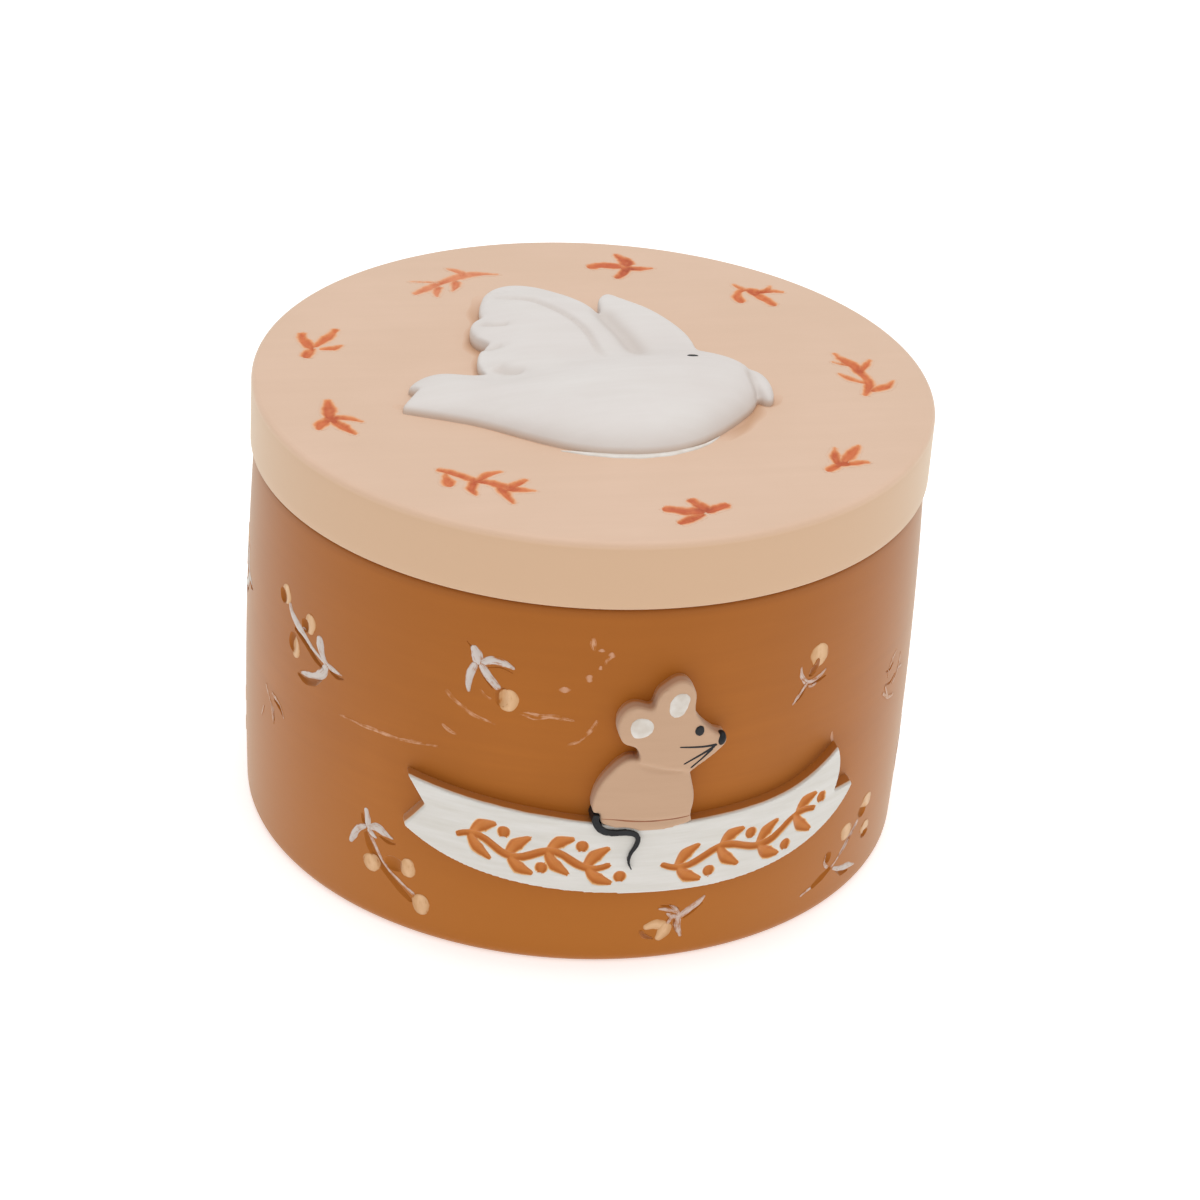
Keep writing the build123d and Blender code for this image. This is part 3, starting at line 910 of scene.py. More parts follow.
# %% Lid sprigs
lid_sprigs = {
    "lid_sprig_1": [
        (
            [(-15.4, 21.8), (-13.5, 23.4), (-11.3, 25.0), (-9.2, 26.3), (-7.4, 26.5), (-5.3, 26.3)],
            [0.7, 1.0, 0.9, 1.4, 0.9, 0.2],
        ),
        ([(-10.9, 28.3), (-10.0, 27.6), (-9.0, 26.6)], [0.25, 0.8, 0.9]),
        ([(-13.0, 20.9), (-12.8, 22.3), (-12.3, 23.7)], [0.25, 0.9, 0.8]),
        ([(-11.2, 22.2), (-10.6, 23.5), (-10.2, 25.0)], [0.25, 0.9, 0.9]),
        ([(-15.4, 25.1), (-12.5, 24.7), (-10.7, 25.1)], [0.15, 0.3, 0.4]),
    ],
    "lid_sprig_2": [
        ([(4.6, 27.5), (6.3, 27.9), (8.6, 27.3)], [1.0, 1.5, 0.9]),
        ([(8.4, 30.9), (9.2, 29.2), (9.2, 27.5)], [0.5, 1.4, 1.2]),
        ([(12.0, 26.8), (10.5, 26.8), (9.0, 27.0)], [0.25, 0.9, 0.9]),
        ([(7.2, 24.4), (8.3, 25.6), (9.0, 27.0)], [0.6, 1.1, 1.2]),
        ([(8.2, 27.3), (9.1, 27.1), (9.9, 26.9)], [0.9, 1.2, 0.8]),
    ],
    "lid_sprig_3": [
        ([(21.0, 20.4), (22.1, 18.5), (23.2, 16.2)], [0.6, 1.4, 0.6]),
        ([(19.7, 17.2), (19.5, 18.7), (20.2, 20.2), (21.4, 20.5)], [0.9, 1.1, 0.7, 0.5]),
        ([(19.7, 22.2), (20.3, 21.2), (21.6, 20.2)], [0.25, 0.7, 0.6]),
        ([(25.0, 19.6), (23.5, 20.0), (21.9, 19.7)], [0.25, 0.9, 0.8]),
        ([(23.9, 21.5), (23.3, 20.5), (22.4, 19.7)], [0.2, 0.6, 0.6]),
        ([(20.9, 20.9), (21.6, 20.2), (22.1, 19.4)], [0.6, 1.1, 0.8]),
    ],
    "lid_sprig_4": [
        (
            [(26.4, 4.3), (27.2, 2.3), (28.0, 0.3), (28.3, -2.0), (28.2, -3.8), (27.1, -6.0)],
            [0.25, 1.1, 1.3, 0.9, 1.1, 0.4],
        ),
        ([(30.0, 2.5), (29.1, 1.1), (28.1, -0.2)], [0.25, 0.8, 0.8]),
        ([(25.7, -0.5), (26.7, -1.9), (28.0, -3.1)], [0.25, 0.8, 0.6]),
        ([(25.7, 2.2), (26.5, 1.7), (27.6, 1.1)], [0.2, 0.7, 0.6]),
        ([(31.2, -2.6), (29.9, -4.0), (28.0, -4.9)], [0.25, 1.1, 0.8]),
    ],
    "lid_sprig_5": [
        ([(18.9, -22.1), (19.8, -21.3), (21.1, -20.2)], [0.8, 0.9, 0.8]),
        ([(21.0, -17.0), (20.6, -18.8), (20.4, -20.7)], [0.2, 1.0, 0.9]),
        ([(23.7, -16.7), (22.5, -18.3), (21.0, -20.2)], [0.25, 1.3, 0.9]),
        ([(23.8, -20.5), (22.6, -20.5), (20.9, -20.9)], [0.5, 0.9, 0.5]),
        ([(20.2, -20.9), (20.9, -20.5), (21.5, -20.1)], [0.9, 1.2, 0.8]),
    ],
    "lid_sprig_6": [
        ([(0.9, -28.3), (2.7, -28.8), (5.0, -29.3)], [0.9, 1.6, 1.2]),
        ([(3.9, -26.5), (4.6, -27.6), (5.3, -29.0)], [0.9, 1.3, 1.2]),
        ([(7.7, -27.9), (6.4, -28.6), (4.9, -29.3)], [0.6, 1.2, 1.1]),
        ([(1.8, -31.4), (3.2, -30.7), (4.8, -29.5)], [0.7, 1.1, 0.9]),
    ],
    "lid_sprig_7": [
        (
            [(-19.3, -18.3), (-17.6, -19.6), (-16.0, -21.0), (-14.3, -21.8), (-12.9, -23.0), (-10.4, -23.7)],
            [0.7, 1.0, 0.9, 1.1, 1.2, 0.2],
        ),
        ([(-12.9, -19.4), (-14.6, -20.0), (-15.9, -21.1)], [0.25, 1.0, 0.8]),
        ([(-10.8, -21.2), (-11.9, -22.0), (-13.1, -22.9)], [0.4, 1.1, 0.9]),
        ([(-18.5, -22.2), (-18.6, -21.3), (-18.7, -20.4), (-18.6, -19.2)], [0.8, 1.2, 0.8, 0.3]),
        ([(-16.3, -24.2), (-16.6, -22.8), (-16.1, -21.2)], [0.25, 1.0, 0.9]),
        ([(-13.0, -26.2), (-13.4, -24.5), (-13.8, -22.4)], [0.4, 1.0, 0.9]),
    ],
    "lid_sprig_8": [
        ([(-27.8, -2.4), (-28.0, -4.4), (-28.1, -6.7)], [0.5, 1.3, 1.3]),
        ([(-29.7, -9.2), (-29.1, -7.8), (-28.1, -6.5)], [0.6, 1.2, 1.1]),
        ([(-24.9, -7.8), (-26.3, -6.9), (-27.9, -6.6)], [0.25, 0.9, 1.0]),
        ([(-26.0, -10.5), (-27.0, -8.9), (-28.0, -6.9)], [0.4, 1.2, 0.9]),
        ([(-28.5, -6.0), (-28.1, -6.6), (-27.6, -7.1)], [0.9, 1.3, 0.9]),
    ],
    "lid_sprig_9": [
        ([(-28.3, 13.3), (-28.5, 11.2), (-27.9, 9.3)], [0.6, 1.3, 0.9]),
        ([(-24.6, 13.9), (-26.0, 11.8), (-27.6, 9.6)], [0.6, 1.1, 0.6]),
        ([(-24.6, 9.9), (-25.8, 9.2), (-27.2, 9.1)], [0.25, 1.0, 0.4]),
        ([(-28.9, 7.1), (-28.4, 8.2), (-27.8, 9.5)], [0.9, 1.1, 0.8]),
    ],
}
lid_paints = {"lid_sprig_1": sprig_pale, "lid_sprig_2": sprig_deep, "lid_sprig_6": sprig_deep}
lid_groove_depth, lid_groove_share, deeper_cut = 0.34, 0.9, 0.12
paint_share, paint_spread, paint_wobble = 1.12, 0.1, 0.12
lid_cutters = []
for number, (name, strokes) in enumerate(lid_sprigs.items()):
    grooves, dabs = [], []
    for seed, (points, widths) in enumerate(strokes, 10 * number):
        grooves.append(groove(points, [w * lid_groove_share for w in widths], lid_groove_depth, seed))
        dabs.append(dab(points, [w * paint_share + paint_spread for w in widths], paint_wobble, seed))
    lid_cutters += [cutter(f"{name}_cutter_{k}", one, on_lid, deeper_cut) for k, one in enumerate(grooves)]
    sprig = shared_skin(name, dabs, on_lid, grooves)
    coated(sprig, lid_paints.get(name, sprig_orange), sprig_edge)
    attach(sprig, "lid")
engrave(lid, lid_cutters, "lid_engraver")
coated(lid, peach_paint, casting_edge)
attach(lid, "lid")
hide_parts("lid")
print("lid sprigs:", len(lid_sprigs))

# %% [markdown]
# Berry sprigs run round the wall. Here the painter missed the engraving on purpose or by hurry: white
# leaves and peach berries lie a little beside the brown grooves and pits, and the grooves read as
# their shadows. Each sprig lists its grooves and pits, its white strokes and its berries, in
# millimetres round the wall from the front and up from the table.

# %% Wall sprigs
wall_sprigs = {
    "wall_sprig_left": {
        "grooves": [
            ([(-40.8, 28.7), (-38.6, 27.9), (-36.9, 26.9), (-35.5, 26.4)], [0.4, 0.7, 0.7, 0.3]),
            ([(-35.8, 25.2), (-37.2, 24.2), (-38.6, 23.7), (-39.9, 23.9)], [0.4, 1.0, 0.9, 0.3]),
            ([(-34.7, 26.7), (-33.6, 26.4), (-32.6, 26.6)], [0.3, 0.5, 0.2]),
        ],
        "pits": [(-43.2, 31.2, 1.6, 1.8), (-38.8, 29.9, 1.5, 1.6), (-40.9, 27.0, 1.7, 2.3)],
        "white": [
            (
                [
                    (-41.9, 31.0), (-41.3, 30.0), (-40.2, 29.3), (-39.0, 28.8),
                    (-37.6, 28.0), (-36.0, 27.4), (-34.6, 27.1), (-32.8, 26.9),
                ],
                [0.5, 1.0, 1.2, 0.6, 0.45, 0.5, 0.7, 0.15],
            ),
            ([(-36.4, 29.9), (-36.2, 28.6), (-35.6, 27.6), (-35.0, 27.2)], [0.8, 1.4, 0.9, 0.5]),
            (
                [(-35.0, 27.1), (-35.7, 25.9), (-36.9, 25.0), (-38.2, 24.6), (-39.3, 24.3)],
                [1.0, 1.2, 0.9, 0.8, 0.25],
            ),
        ],
        "berries": [(-42.6, 31.6, 1.9, 2.2), (-38.0, 30.4, 1.9, 2.3), (-40.4, 26.6, 1.6, 2.4)],
    },
    "wall_sprig_far_left": {
        "grooves": [
            ([(-44.8, 18.2), (-43.4, 17.9), (-42.5, 17.2)], [0.3, 0.6, 0.2]),
            ([(-45.6, 17.5), (-44.9, 16.7), (-44.6, 15.6)], [0.3, 0.6, 0.2]),
        ],
        "faint": [
            ([(-46.9, 18.9), (-46.5, 18.3), (-45.9, 17.8), (-45.3, 17.1)], [0.5, 0.4, 0.4, 0.2]),
            ([(-45.4, 18.7), (-44.2, 18.5), (-43.2, 18.0), (-42.3, 17.1)], [0.3, 0.7, 0.6, 0.2]),
            ([(-46.1, 18.0), (-45.3, 17.1), (-45.0, 16.2), (-44.7, 15.2)], [0.2, 0.4, 0.4, 0.2]),
            ([(-47.4, 15.9), (-48.1, 14.4)], [0.3, 0.3]),
        ],
    },
    "wall_sprig_top": {
        "grooves": [
            ([(-18.7, 35.7), (-18.2, 35.2), (-17.9, 34.8)], [0.1, 0.25, 0.15]),
            ([(-16.6, 33.25), (-15.2, 33.55), (-13.9, 33.15)], [0.1, 0.2, 0.1]),
            ([(-17.3, 33.0), (-16.55, 31.95), (-15.8, 31.1)], [0.1, 0.2, 0.2]),
        ],
        "pits": [(-14.85, 30.35, 1.5, 2.2)],
        "white": [
            ([(-18.1, 35.4), (-17.7, 34.6), (-17.3, 33.4)], [0.6, 1.3, 1.1]),
            ([(-17.2, 33.5), (-16.0, 34.2), (-14.9, 34.1), (-13.7, 33.6)], [0.9, 1.0, 0.8, 0.25]),
            ([(-17.6, 33.6), (-18.1, 32.4), (-18.3, 31.2), (-18.2, 30.2)], [0.7, 0.9, 0.8, 0.3]),
            ([(-17.2, 33.6), (-16.2, 32.3), (-15.1, 31.1)], [0.9, 0.85, 0.75]),
        ],
        "berries": [(-14.2, 30.1, 2.2, 2.5)],
    },
    "wall_sprig_low_left": {
        "grooves": [
            (
                [
                    (-29.1, 10.4), (-28.6, 9.1), (-27.8, 7.9), (-26.8, 6.9),
                    (-25.7, 5.9), (-24.4, 4.9), (-23.3, 4.0),
                ],
                [0.5, 1.0, 0.9, 0.8, 0.8, 0.9, 0.5],
            ),
            ([(-27.4, 10.5), (-26.2, 10.2), (-25.3, 10.3)], [0.2, 0.5, 0.2]),
            ([(-29.6, 12.4), (-29.4, 11.5), (-29.1, 11.0)], [0.2, 0.5, 0.3]),
        ],
        "pits": [(-25.5, 7.9, 2.4, 1.8)],
        "white": [
            ([(-29.1, 13.2), (-28.9, 12.2), (-28.8, 10.9)], [0.6, 0.8, 0.8]),
            ([(-28.9, 10.9), (-27.7, 11.4), (-26.7, 11.1), (-25.6, 10.8)], [0.6, 1.1, 0.9, 0.2]),
            ([(-28.8, 10.9), (-28.2, 10.4), (-27.6, 10.1)], [0.6, 0.7, 0.2]),
            ([(-29.0, 11.1), (-30.0, 10.3), (-30.6, 9.3), (-31.1, 8.2)], [0.5, 0.8, 0.9, 0.4]),
        ],
        "thin": [
            (
                [(-28.8, 10.6), (-28.1, 9.6), (-27.2, 8.2), (-26.2, 7.0), (-24.7, 6.0), (-23.0, 5.0)],
                [0.5, 0.4, 0.4, 0.4, 0.4, 0.5],
            ),
        ],
        "berries": [(-28.3, 6.9, 2.2, 2.1), (-23.9, 8.0, 1.9, 2.3), (-22.3, 4.1, 2.1, 2.5)],
    },
    "wall_sprig_low": {
        "grooves": [
            ([(2.2, 6.9), (3.5, 6.6), (4.2, 6.2)], [0.2, 0.4, 0.2]),
            ([(3.8, 5.1), (3.95, 4.2), (4.3, 3.2)], [0.2, 0.5, 0.2]),
            ([(4.7, 4.9), (5.8, 5.7), (6.8, 6.6)], [0.15, 0.35, 0.15]),
            ([(0.5, 3.9), (1.0, 3.2), (1.8, 2.8)], [0.2, 0.4, 0.2]),
        ],
        "thin": [
            ([(4.1, 5.1), (5.2, 5.9), (6.2, 6.6), (7.0, 7.4)], [0.6, 0.9, 0.8, 0.2]),
            ([(4.2, 5.2), (4.3, 4.0), (4.7, 2.7)], [0.6, 0.7, 0.4]),
            ([(2.9, 5.9), (3.6, 5.4), (4.2, 5.3)], [0.2, 0.6, 0.6]),
            ([(2.0, 6.5), (3.0, 6.3), (4.0, 5.8)], [0.2, 0.4, 0.4]),
            ([(3.2, 6.8), (3.9, 6.2), (4.3, 5.5)], [0.2, 0.4, 0.5]),
            ([(3.6, 5.4), (3.3, 4.9), (3.0, 4.6)], [0.4, 0.5, 0.4]),
        ],
        "petals": [
            ([(0.6, 4.3), (1.9, 4.6), (3.3, 4.1)], [0.7, 1.4, 1.2]),
            ([(3.1, 4.7), (2.8, 3.6), (2.1, 2.6)], [1.2, 1.5, 0.7]),
        ],
        "over": [([(0.3, 4.0), (0.8, 3.3), (1.7, 2.9)], [0.3, 0.6, 0.3])],
    },
    "wall_sprig_high_right": {
        "grooves": [
            ([(18.0, 31.4), (17.7, 30.8), (17.2, 30.2)], [0.5, 1.0, 0.4]),
            ([(17.6, 29.3), (18.7, 29.4), (19.6, 29.6)], [0.2, 0.4, 0.2]),
            ([(16.8, 29.1), (16.2, 28.3), (15.6, 27.8)], [0.2, 0.4, 0.2]),
        ],
        "thin": [
            ([(16.0, 31.8), (16.1, 30.8), (16.5, 30.1), (17.0, 29.5)], [0.2, 0.5, 0.6, 0.7]),
            ([(16.8, 29.8), (17.4, 29.6), (18.4, 29.8), (19.6, 30.4)], [0.6, 0.6, 0.45, 0.15]),
            ([(17.1, 29.7), (16.5, 29.1), (15.9, 28.4), (15.2, 27.6)], [0.6, 0.4, 0.35, 0.15]),
            ([(17.0, 29.3), (17.6, 29.1), (18.3, 29.2)], [0.4, 0.4, 0.2]),
        ],
        "over": [([(18.3, 32.0), (18.0, 31.2), (17.3, 30.3)], [0.5, 0.9, 0.5])],
        "berries": [(18.4, 32.3, 2.6, 2.6)],
    },
    "wall_sprig_far_right": {
        "grooves": [
            ([(31.2, 24.9), (32.2, 24.7), (33.3, 25.1)], [0.2, 0.45, 0.2]),
            ([(31.3, 23.3), (32.8, 22.9), (34.2, 23.3)], [0.15, 0.35, 0.15]),
        ],
        "faint": [
            ([(34.0, 26.2), (32.7, 25.6), (32.1, 24.7), (31.9, 23.8)], [0.2, 0.4, 0.4, 0.2]),
            ([(35.6, 25.1), (35.3, 23.9), (34.6, 23.0), (33.4, 22.4)], [0.2, 0.4, 0.4, 0.2]),
            ([(30.8, 22.6), (32.3, 21.4), (34.2, 20.8)], [0.3, 0.6, 0.3]),
            ([(31.3, 23.2), (31.9, 22.2), (32.4, 21.3)], [0.3, 0.4, 0.3]),
            ([(34.8, 23.6), (36.4, 23.1)], [0.3, 0.3]),
        ],
    },
    "wall_sprig_low_right": {
        "grooves": [
            ([(24.0, 4.9), (22.6, 4.3), (20.8, 3.6)], [0.5, 1.0, 0.6]),
            ([(24.9, 3.8), (26.3, 2.9), (27.6, 2.6)], [0.2, 0.7, 0.2]),
            ([(28.0, 8.3), (26.6, 6.9), (25.0, 5.5)], [0.4, 0.7, 0.3]),
        ],
        "pits": [(29.1, 9.3, 1.9, 1.7), (30.5, 5.7, 1.7, 1.0), (23.1, 6.4, 1.1, 1.5)],
        "white": [
            ([(24.2, 4.5), (25.6, 3.8), (27.2, 3.3), (29.1, 2.6)], [0.4, 0.9, 0.8, 0.15]),
        ],
        "thin": [
            ([(28.4, 8.6), (27.2, 7.3), (25.9, 6.2), (24.6, 5.2), (23.8, 4.7)], [0.6, 0.5, 0.5, 0.4, 0.4]),
            ([(20.9, 3.7), (20.0, 3.5), (19.2, 3.2)], [0.5, 0.4, 0.2]),
            ([(23.3, 5.0), (22.6, 5.8), (22.7, 6.9)], [0.4, 0.5, 0.3]),
        ],
        "berries": [(26.0, 8.2, 2.2, 2.0), (29.9, 10.1, 2.3, 1.7), (30.3, 6.6, 2.2, 1.5)],
    },
}
# Round the unseen back the same sprigs come again, turned by these angles.
wall_turns = {
    "wall_sprig_left": (157, 237, -33),
    "wall_sprig_top": (144, -129),
    "wall_sprig_low_left": (118, -127),
    "wall_sprig_low": (104, -146),
    "wall_sprig_high_right": (121, -149),
    "wall_sprig_low_right": (98, -147),
}


def turned_copy(piece, name, degrees):
    """A copy with its own mesh, turned round the upright axis."""
    copy = bpy.data.objects.new(name, piece.data.copy())
    copy.data.name = name
    bpy.context.scene.collection.objects.link(copy)
    copy.data.transform(Matrix.Rotation(math.radians(degrees), 4, "Z"))
    return copy


# Each kind of painted part: its finish, which strokes it takes and how unsteady they are.
stroke_kinds = {
    "leaves": ("leaf_white", "white", 0.09),
    "streaks": ("thin_white", "thin", 0.12),
    "scratches": ("faint_white", "faint", 0.12),
    "berries": ("berry_peach", "petals", 0.05),
    # The shadows are dark brown dabs over grooves and pits: painted shade.
    "shadows": ("painted_groove_shadow", "over", 0.12),
}
deepest_groove, groove_depth_share, pit_depth = 0.38, 0.5, 0.42
skin_thickness, layer_step, shadow_lift, berry_wobble = 0.035, 0.01, 0.04, 0.07
wall_cutters = []
for number, (name, work) in enumerate(wall_sprigs.items()):
    seed = 100 + 20 * number
    grooves = [
        groove(points, widths, min(deepest_groove, groove_depth_share * max(widths)), seed + k)
        for k, (points, widths) in enumerate(work["grooves"])
    ]
    grooves += [pit(*place, pit_depth, seed + 10 + k) for k, place in enumerate(work.get("pits", ()))]
    cutters = [cutter(f"{name}_cutter_{k}", one, on_wall) for k, one in enumerate(grooves)]
    pieces = []
    for part, (finish, kind, wobble) in stroke_kinds.items():
        dabs = [dab(p, w, wobble, seed + k) for k, (p, w) in enumerate(work.get(kind, ()))]
        if part == "berries":
            round_dabs = enumerate(work.get("berries", ()))
            dabs += [blob(*place, seed + k, berry_wobble) for k, place in round_dabs]
        if dabs:
            lift = shadow_lift * (part == "shadows")
            piece = joined(f"{name}_{part}", [
                skin(f"{name}_{part}_{k}", one, on_wall, grooves, skin_thickness, layer_step * k + lift)
                for k, one in enumerate(dabs)
            ])
            coated(piece, dab_paints[finish], sprig_edge)
            pieces.append(piece)
    for turn, degrees in enumerate(wall_turns.get(name, ())):
        for piece in pieces:
            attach(turned_copy(piece, f"{piece.name}_turned_{turn + 1}", degrees), "box")
        wall_cutters += [turned_copy(one, f"{one.name}_turned_{turn + 1}", degrees) for one in cutters]
    for piece in pieces:
        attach(piece, "box")
    wall_cutters += cutters
print("wall cutters:", len(wall_cutters))
engrave(cup, wall_cutters, "wall_engraver")
coated(cup, brown_paint, casting_edge)
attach(cup, "box")
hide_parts("box_body")

# %% [markdown]
# The raised figures are soft where the mould was soft: their edges are rounded and one form runs into
# the next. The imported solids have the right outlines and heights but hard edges, so copies of them are
# united, remeshed into even small squares and relaxed. On such an even mesh, creases and valleys can
# then be pressed in by moving points, as a modelling tool would.

# %% Helpers for modelled figures
def united_copy(name, *nodes):
    """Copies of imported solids, closed and united into one piece."""
    copies = []
    for each in nodes:
        copy = bpy.data.objects.new(f"{name}_{each}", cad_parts[each].data.copy())
        bpy.context.scene.collection.objects.link(copy)
        copy.data.materials.clear()
        pick_up(copy)
        bpy.ops.object.mode_set(mode="EDIT")
        bpy.ops.mesh.select_all(action="SELECT")
        bpy.ops.mesh.remove_doubles(threshold=0.002 * mm)
        bpy.ops.object.mode_set(mode="OBJECT")
        bpy.ops.mesh.customdata_custom_splitnormals_clear()
        copies.append(copy)
    return united(name, copies)


def even_mesh(piece, square, rounds):
    """Remeshes a piece into small squares, in mm, and relaxes it a number of rounds."""
    work_with(piece, "REMESH", mode="VOXEL", voxel_size=square * mm, use_smooth_shade=True)
    work_with(piece, "SMOOTH", factor=0.5, iterations=rounds)


def places_of(piece):
    """A piece's points in mm, one row each."""
    return rows_of(piece) / mm


def put_places(piece, places):
    """Gives a piece its points back, in mm."""
    piece.data.vertices.foreach_set("co", (places * mm).ravel())
    piece.data.update()


def turn_and_radius(shape):
    """How far round the upright axis points lie, and how far from it."""
    return np.arctan2(shape[:, 0], -shape[:, 1]), np.hypot(shape[:, 0], shape[:, 1])


def at_radius(shape, turn, radius):
    """Moves points in or out, at the turns that they have."""
    shape[:, 0], shape[:, 1] = radius * np.sin(turn), -radius * np.cos(turn)
    return shape


def let_in(piece, deep=0.3):
    """Lets the rounded foot of a piece on the wall into the wall, so that no gap shows round it."""
    shape = places_of(piece)
    turn, radius = turn_and_radius(shape)
    radius -= deep * np.clip((0.45 - radius + wall_radius(shape[:, 2])) / 0.4, 0, 1)
    put_places(piece, at_radius(shape, turn, radius))


def from_line(flat, points):
    """How far flat places lie from a smooth line, and how far along it, as a share."""
    line, run = smooth_line(points, 0.25)
    distance = np.full(len(flat), 1e9)
    share = np.zeros(len(flat))
    for spot, done in zip(line, run / run[-1]):
        gap = np.hypot(flat[:, 0] - spot[0], flat[:, 1] - spot[1])
        nearer = gap < distance
        distance[nearer] = gap[nearer]
        share[nearer] = done
    return distance, share


def spread_heights(shape, level, reach, cell=0.25):
    """A figure's top averaged over a reach, and how far inside its outline each point lies."""
    low = shape[:, :2].min(0) - 4 * reach
    at = np.rint((shape[:, :2] - low) / cell).astype(int)
    size = at.max(0) + int(4 * reach / cell)
    total, count = np.zeros(size), np.zeros(size)
    top = shape[:, 2] > level
    np.add.at(total, tuple(at[top].T), shape[top, 2])
    np.add.at(count, tuple(at[top].T), 1)
    seen = (count > 0).astype(float)
    steps = np.arange(-int(3 * reach / cell), int(3 * reach / cell) + 1) * cell / reach
    bell = np.exp(-0.5 * steps**2)
    bell /= bell.sum()

    def blurred(sheet):
        for axis in (0, 1):
            sheet = np.apply_along_axis(np.convolve, axis, sheet, bell, mode="same")
        return sheet

    cover = blurred(seen)
    spread = blurred(np.where(seen > 0, total / np.maximum(count, 1), 0)) / np.maximum(cover, 1e-6)
    return spread[tuple(at.T)], cover[tuple(at.T)]


def crease(flat, points, wide, deep):
    """How deep a pressed line is at flat places: a soft groove that runs out at both ends."""
    distance, share = from_line(flat, points)
    ends = np.clip(np.minimum(share, 1 - share) * 6, 0, 1)
    return deep * np.exp(-((distance / wide) ** 2)) * (0.25 + 0.75 * ends)


def on_piece(piece, inwards):
    """A surface for dabs on a modelled piece: seen from above, or from outside the wall."""
    points = [v.co.copy() for v in piece.data.vertices]
    tree = BVHTree.FromPolygons(points, [tuple(f.vertices) for f in piece.data.polygons])

    def surface(flat, out):
        places = []
        for (a, b), lift in zip(flat, np.broadcast_to(out, len(flat))):
            if inwards:
                way = Vector((math.sin(a / plan_radius), -math.cos(a / plan_radius), 0))
                start = way * 0.06 + Vector((0, 0, b * mm))
            else:
                way = Vector((0, 0, 1))
                start = Vector((a * mm, b * mm, 0.08))
            spot, *_ = tree.ray_cast(start, -way)
            if spot is None and inwards:
                spot = Vector(on_wall(np.array([[a, b]]), 1.4)[0])
            elif spot is None:
                spot = Vector((a, b, lid_top)) * mm
            places.append(spot + way * lift * mm)
        return np.array(places)

    return surface


print("helpers for figures are ready")

# %% [markdown]
# The dove is one soft pillow: body, beak and both wings are united. The joints between wings and body
# are relaxed much longer than the rest, so the wings grow out of the back without a seam. Then come
# the modelled lines: the band along the near wing's front edge, the valley between the wings, the
# feather crease, the line between head and beak, and the dents behind the scallops.

# %% Dove
wing_root = [(-9.0, 0.2), (-6.0, 0.8), (0.0, 1.6), (5.0, 2.2), (9.0, 2.4), (11.0, 2.0)]
scallop_line = [
    (-8.0, 19.5), (-9.2, 16.3), (-9.7, 12.5), (-11.3, 8.7), (-9.65, 6.3), (-11.7, 0.8), (-10.3, -1.7),
]
band_line = [
    (-7.4, 17.0), (-6.0, 16.2), (-3.75, 15.1), (-2.0, 12.8),
    (-0.6, 10.2), (0.4, 6.9), (0.75, 3.2), (0.95, 0.6),
]
# Each crease: its line, how wide it is and how deep.
dove_creases = [
    (band_line, 0.38, 0.36),
    ([(2.9, 13.4), (3.4, 9.8), (4.2, 6.4), (4.7, 3.0), (5.0, 0.8)], 1.05, 0.66),
    ([(-10.3, 10.8), (-9.0, 9.8), (-7.2, 9.4)], 0.45, 0.36),
    ([(-11.4, 5.4), (-10.4, 4.9), (-8.6, 5.1)], 0.55, 0.3),
    ([(-10.4, 0.8), (-9.2, -0.6), (-7.6, -1.5)], 0.8, 0.42),
    ([(15.4, -3.4), (15.1, -5.4), (15.4, -7.4), (15.2, -8.8)], 0.45, 0.45),
]
band_height, band_reach = 0.24, 3.0
scallop_dent, scallop_reach = 0.55, 4.5
dove = united_copy("dove", "dove_body", "dove_beak", "dove_near_wing", "dove_far_wing")
even_mesh(dove, 0.2, 6)
shape = places_of(dove)
spread, cover = spread_heights(shape, lid_top + 0.9, 1.5)
inner = np.clip((cover - 0.62) / 0.25, 0, 1) * np.clip((shape[:, 2] - lid_top - 0.7) / 0.5, 0, 1)
root, _ = from_line(shape[:, :2], wing_root)
shape[:, 2] += inner * np.exp(-((root / 4.2) ** 4)) * (spread - shape[:, 2])
spread, cover = spread_heights(shape, lid_top + 0.9, 1.5)
shape[:, 2] += inner * np.exp(-((root / 4.8) ** 4)) * (spread - shape[:, 2])
put_places(dove, shape)
work_with(dove, "SMOOTH", factor=0.5, iterations=12)
shape = places_of(dove)
flat = shape[:, :2]
top = np.clip((shape[:, 2] - lid_top - 0.5) / 0.7, 0, 1)
scallops, _ = from_line(flat, scallop_line)
shape[:, 2] -= scallop_dent * top * np.clip(1 - scallops / scallop_reach, 0, 1) ** 1.5
band, along_band = from_line(flat, band_line)
line, _ = smooth_line(band_line, 0.25)
nearest = ((flat[:, None, :] - line[None, ::3, :]) ** 2).sum(-1).argmin(1)
beside = flat - line[::3][nearest]
outer = (beside[:, 0] * 0.55 + beside[:, 1] * 0.84) > 0
raised_band = band_height * np.clip(1 - band / band_reach, 0, 1) * np.clip(1.15 - along_band, 0, 1)
pressed = sum(crease(flat, *one) for one in dove_creases)
shape[:, 2] += top * (np.where(outer, raised_band, 0) - pressed)
put_places(dove, shape)
# The crease depth is kept so that the dove's paint can darken the creases with painted shade.
mark(dove, "pressed", top * np.clip(pressed, 0, 0.42))
work_with(dove, "SMOOTH", factor=0.5, iterations=4)
shape = places_of(dove)
shape[:, 2] -= 0.4 * np.clip((lid_top + 0.55 - shape[:, 2]) / 0.5, 0, 1)
put_places(dove, shape)
coated_smooth(dove, dove_paint)
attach(dove, "lid")
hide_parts("dove_body", "dove_beak", "dove_near_wing", "dove_far_wing")
shape = places_of(dove)
print("dove spans", shape.min(0).round(2), shape.max(0).round(2))

# %% [markdown]
# Black details are one satin paint, laid on thick enough to stand a tenth of a millimetre proud.

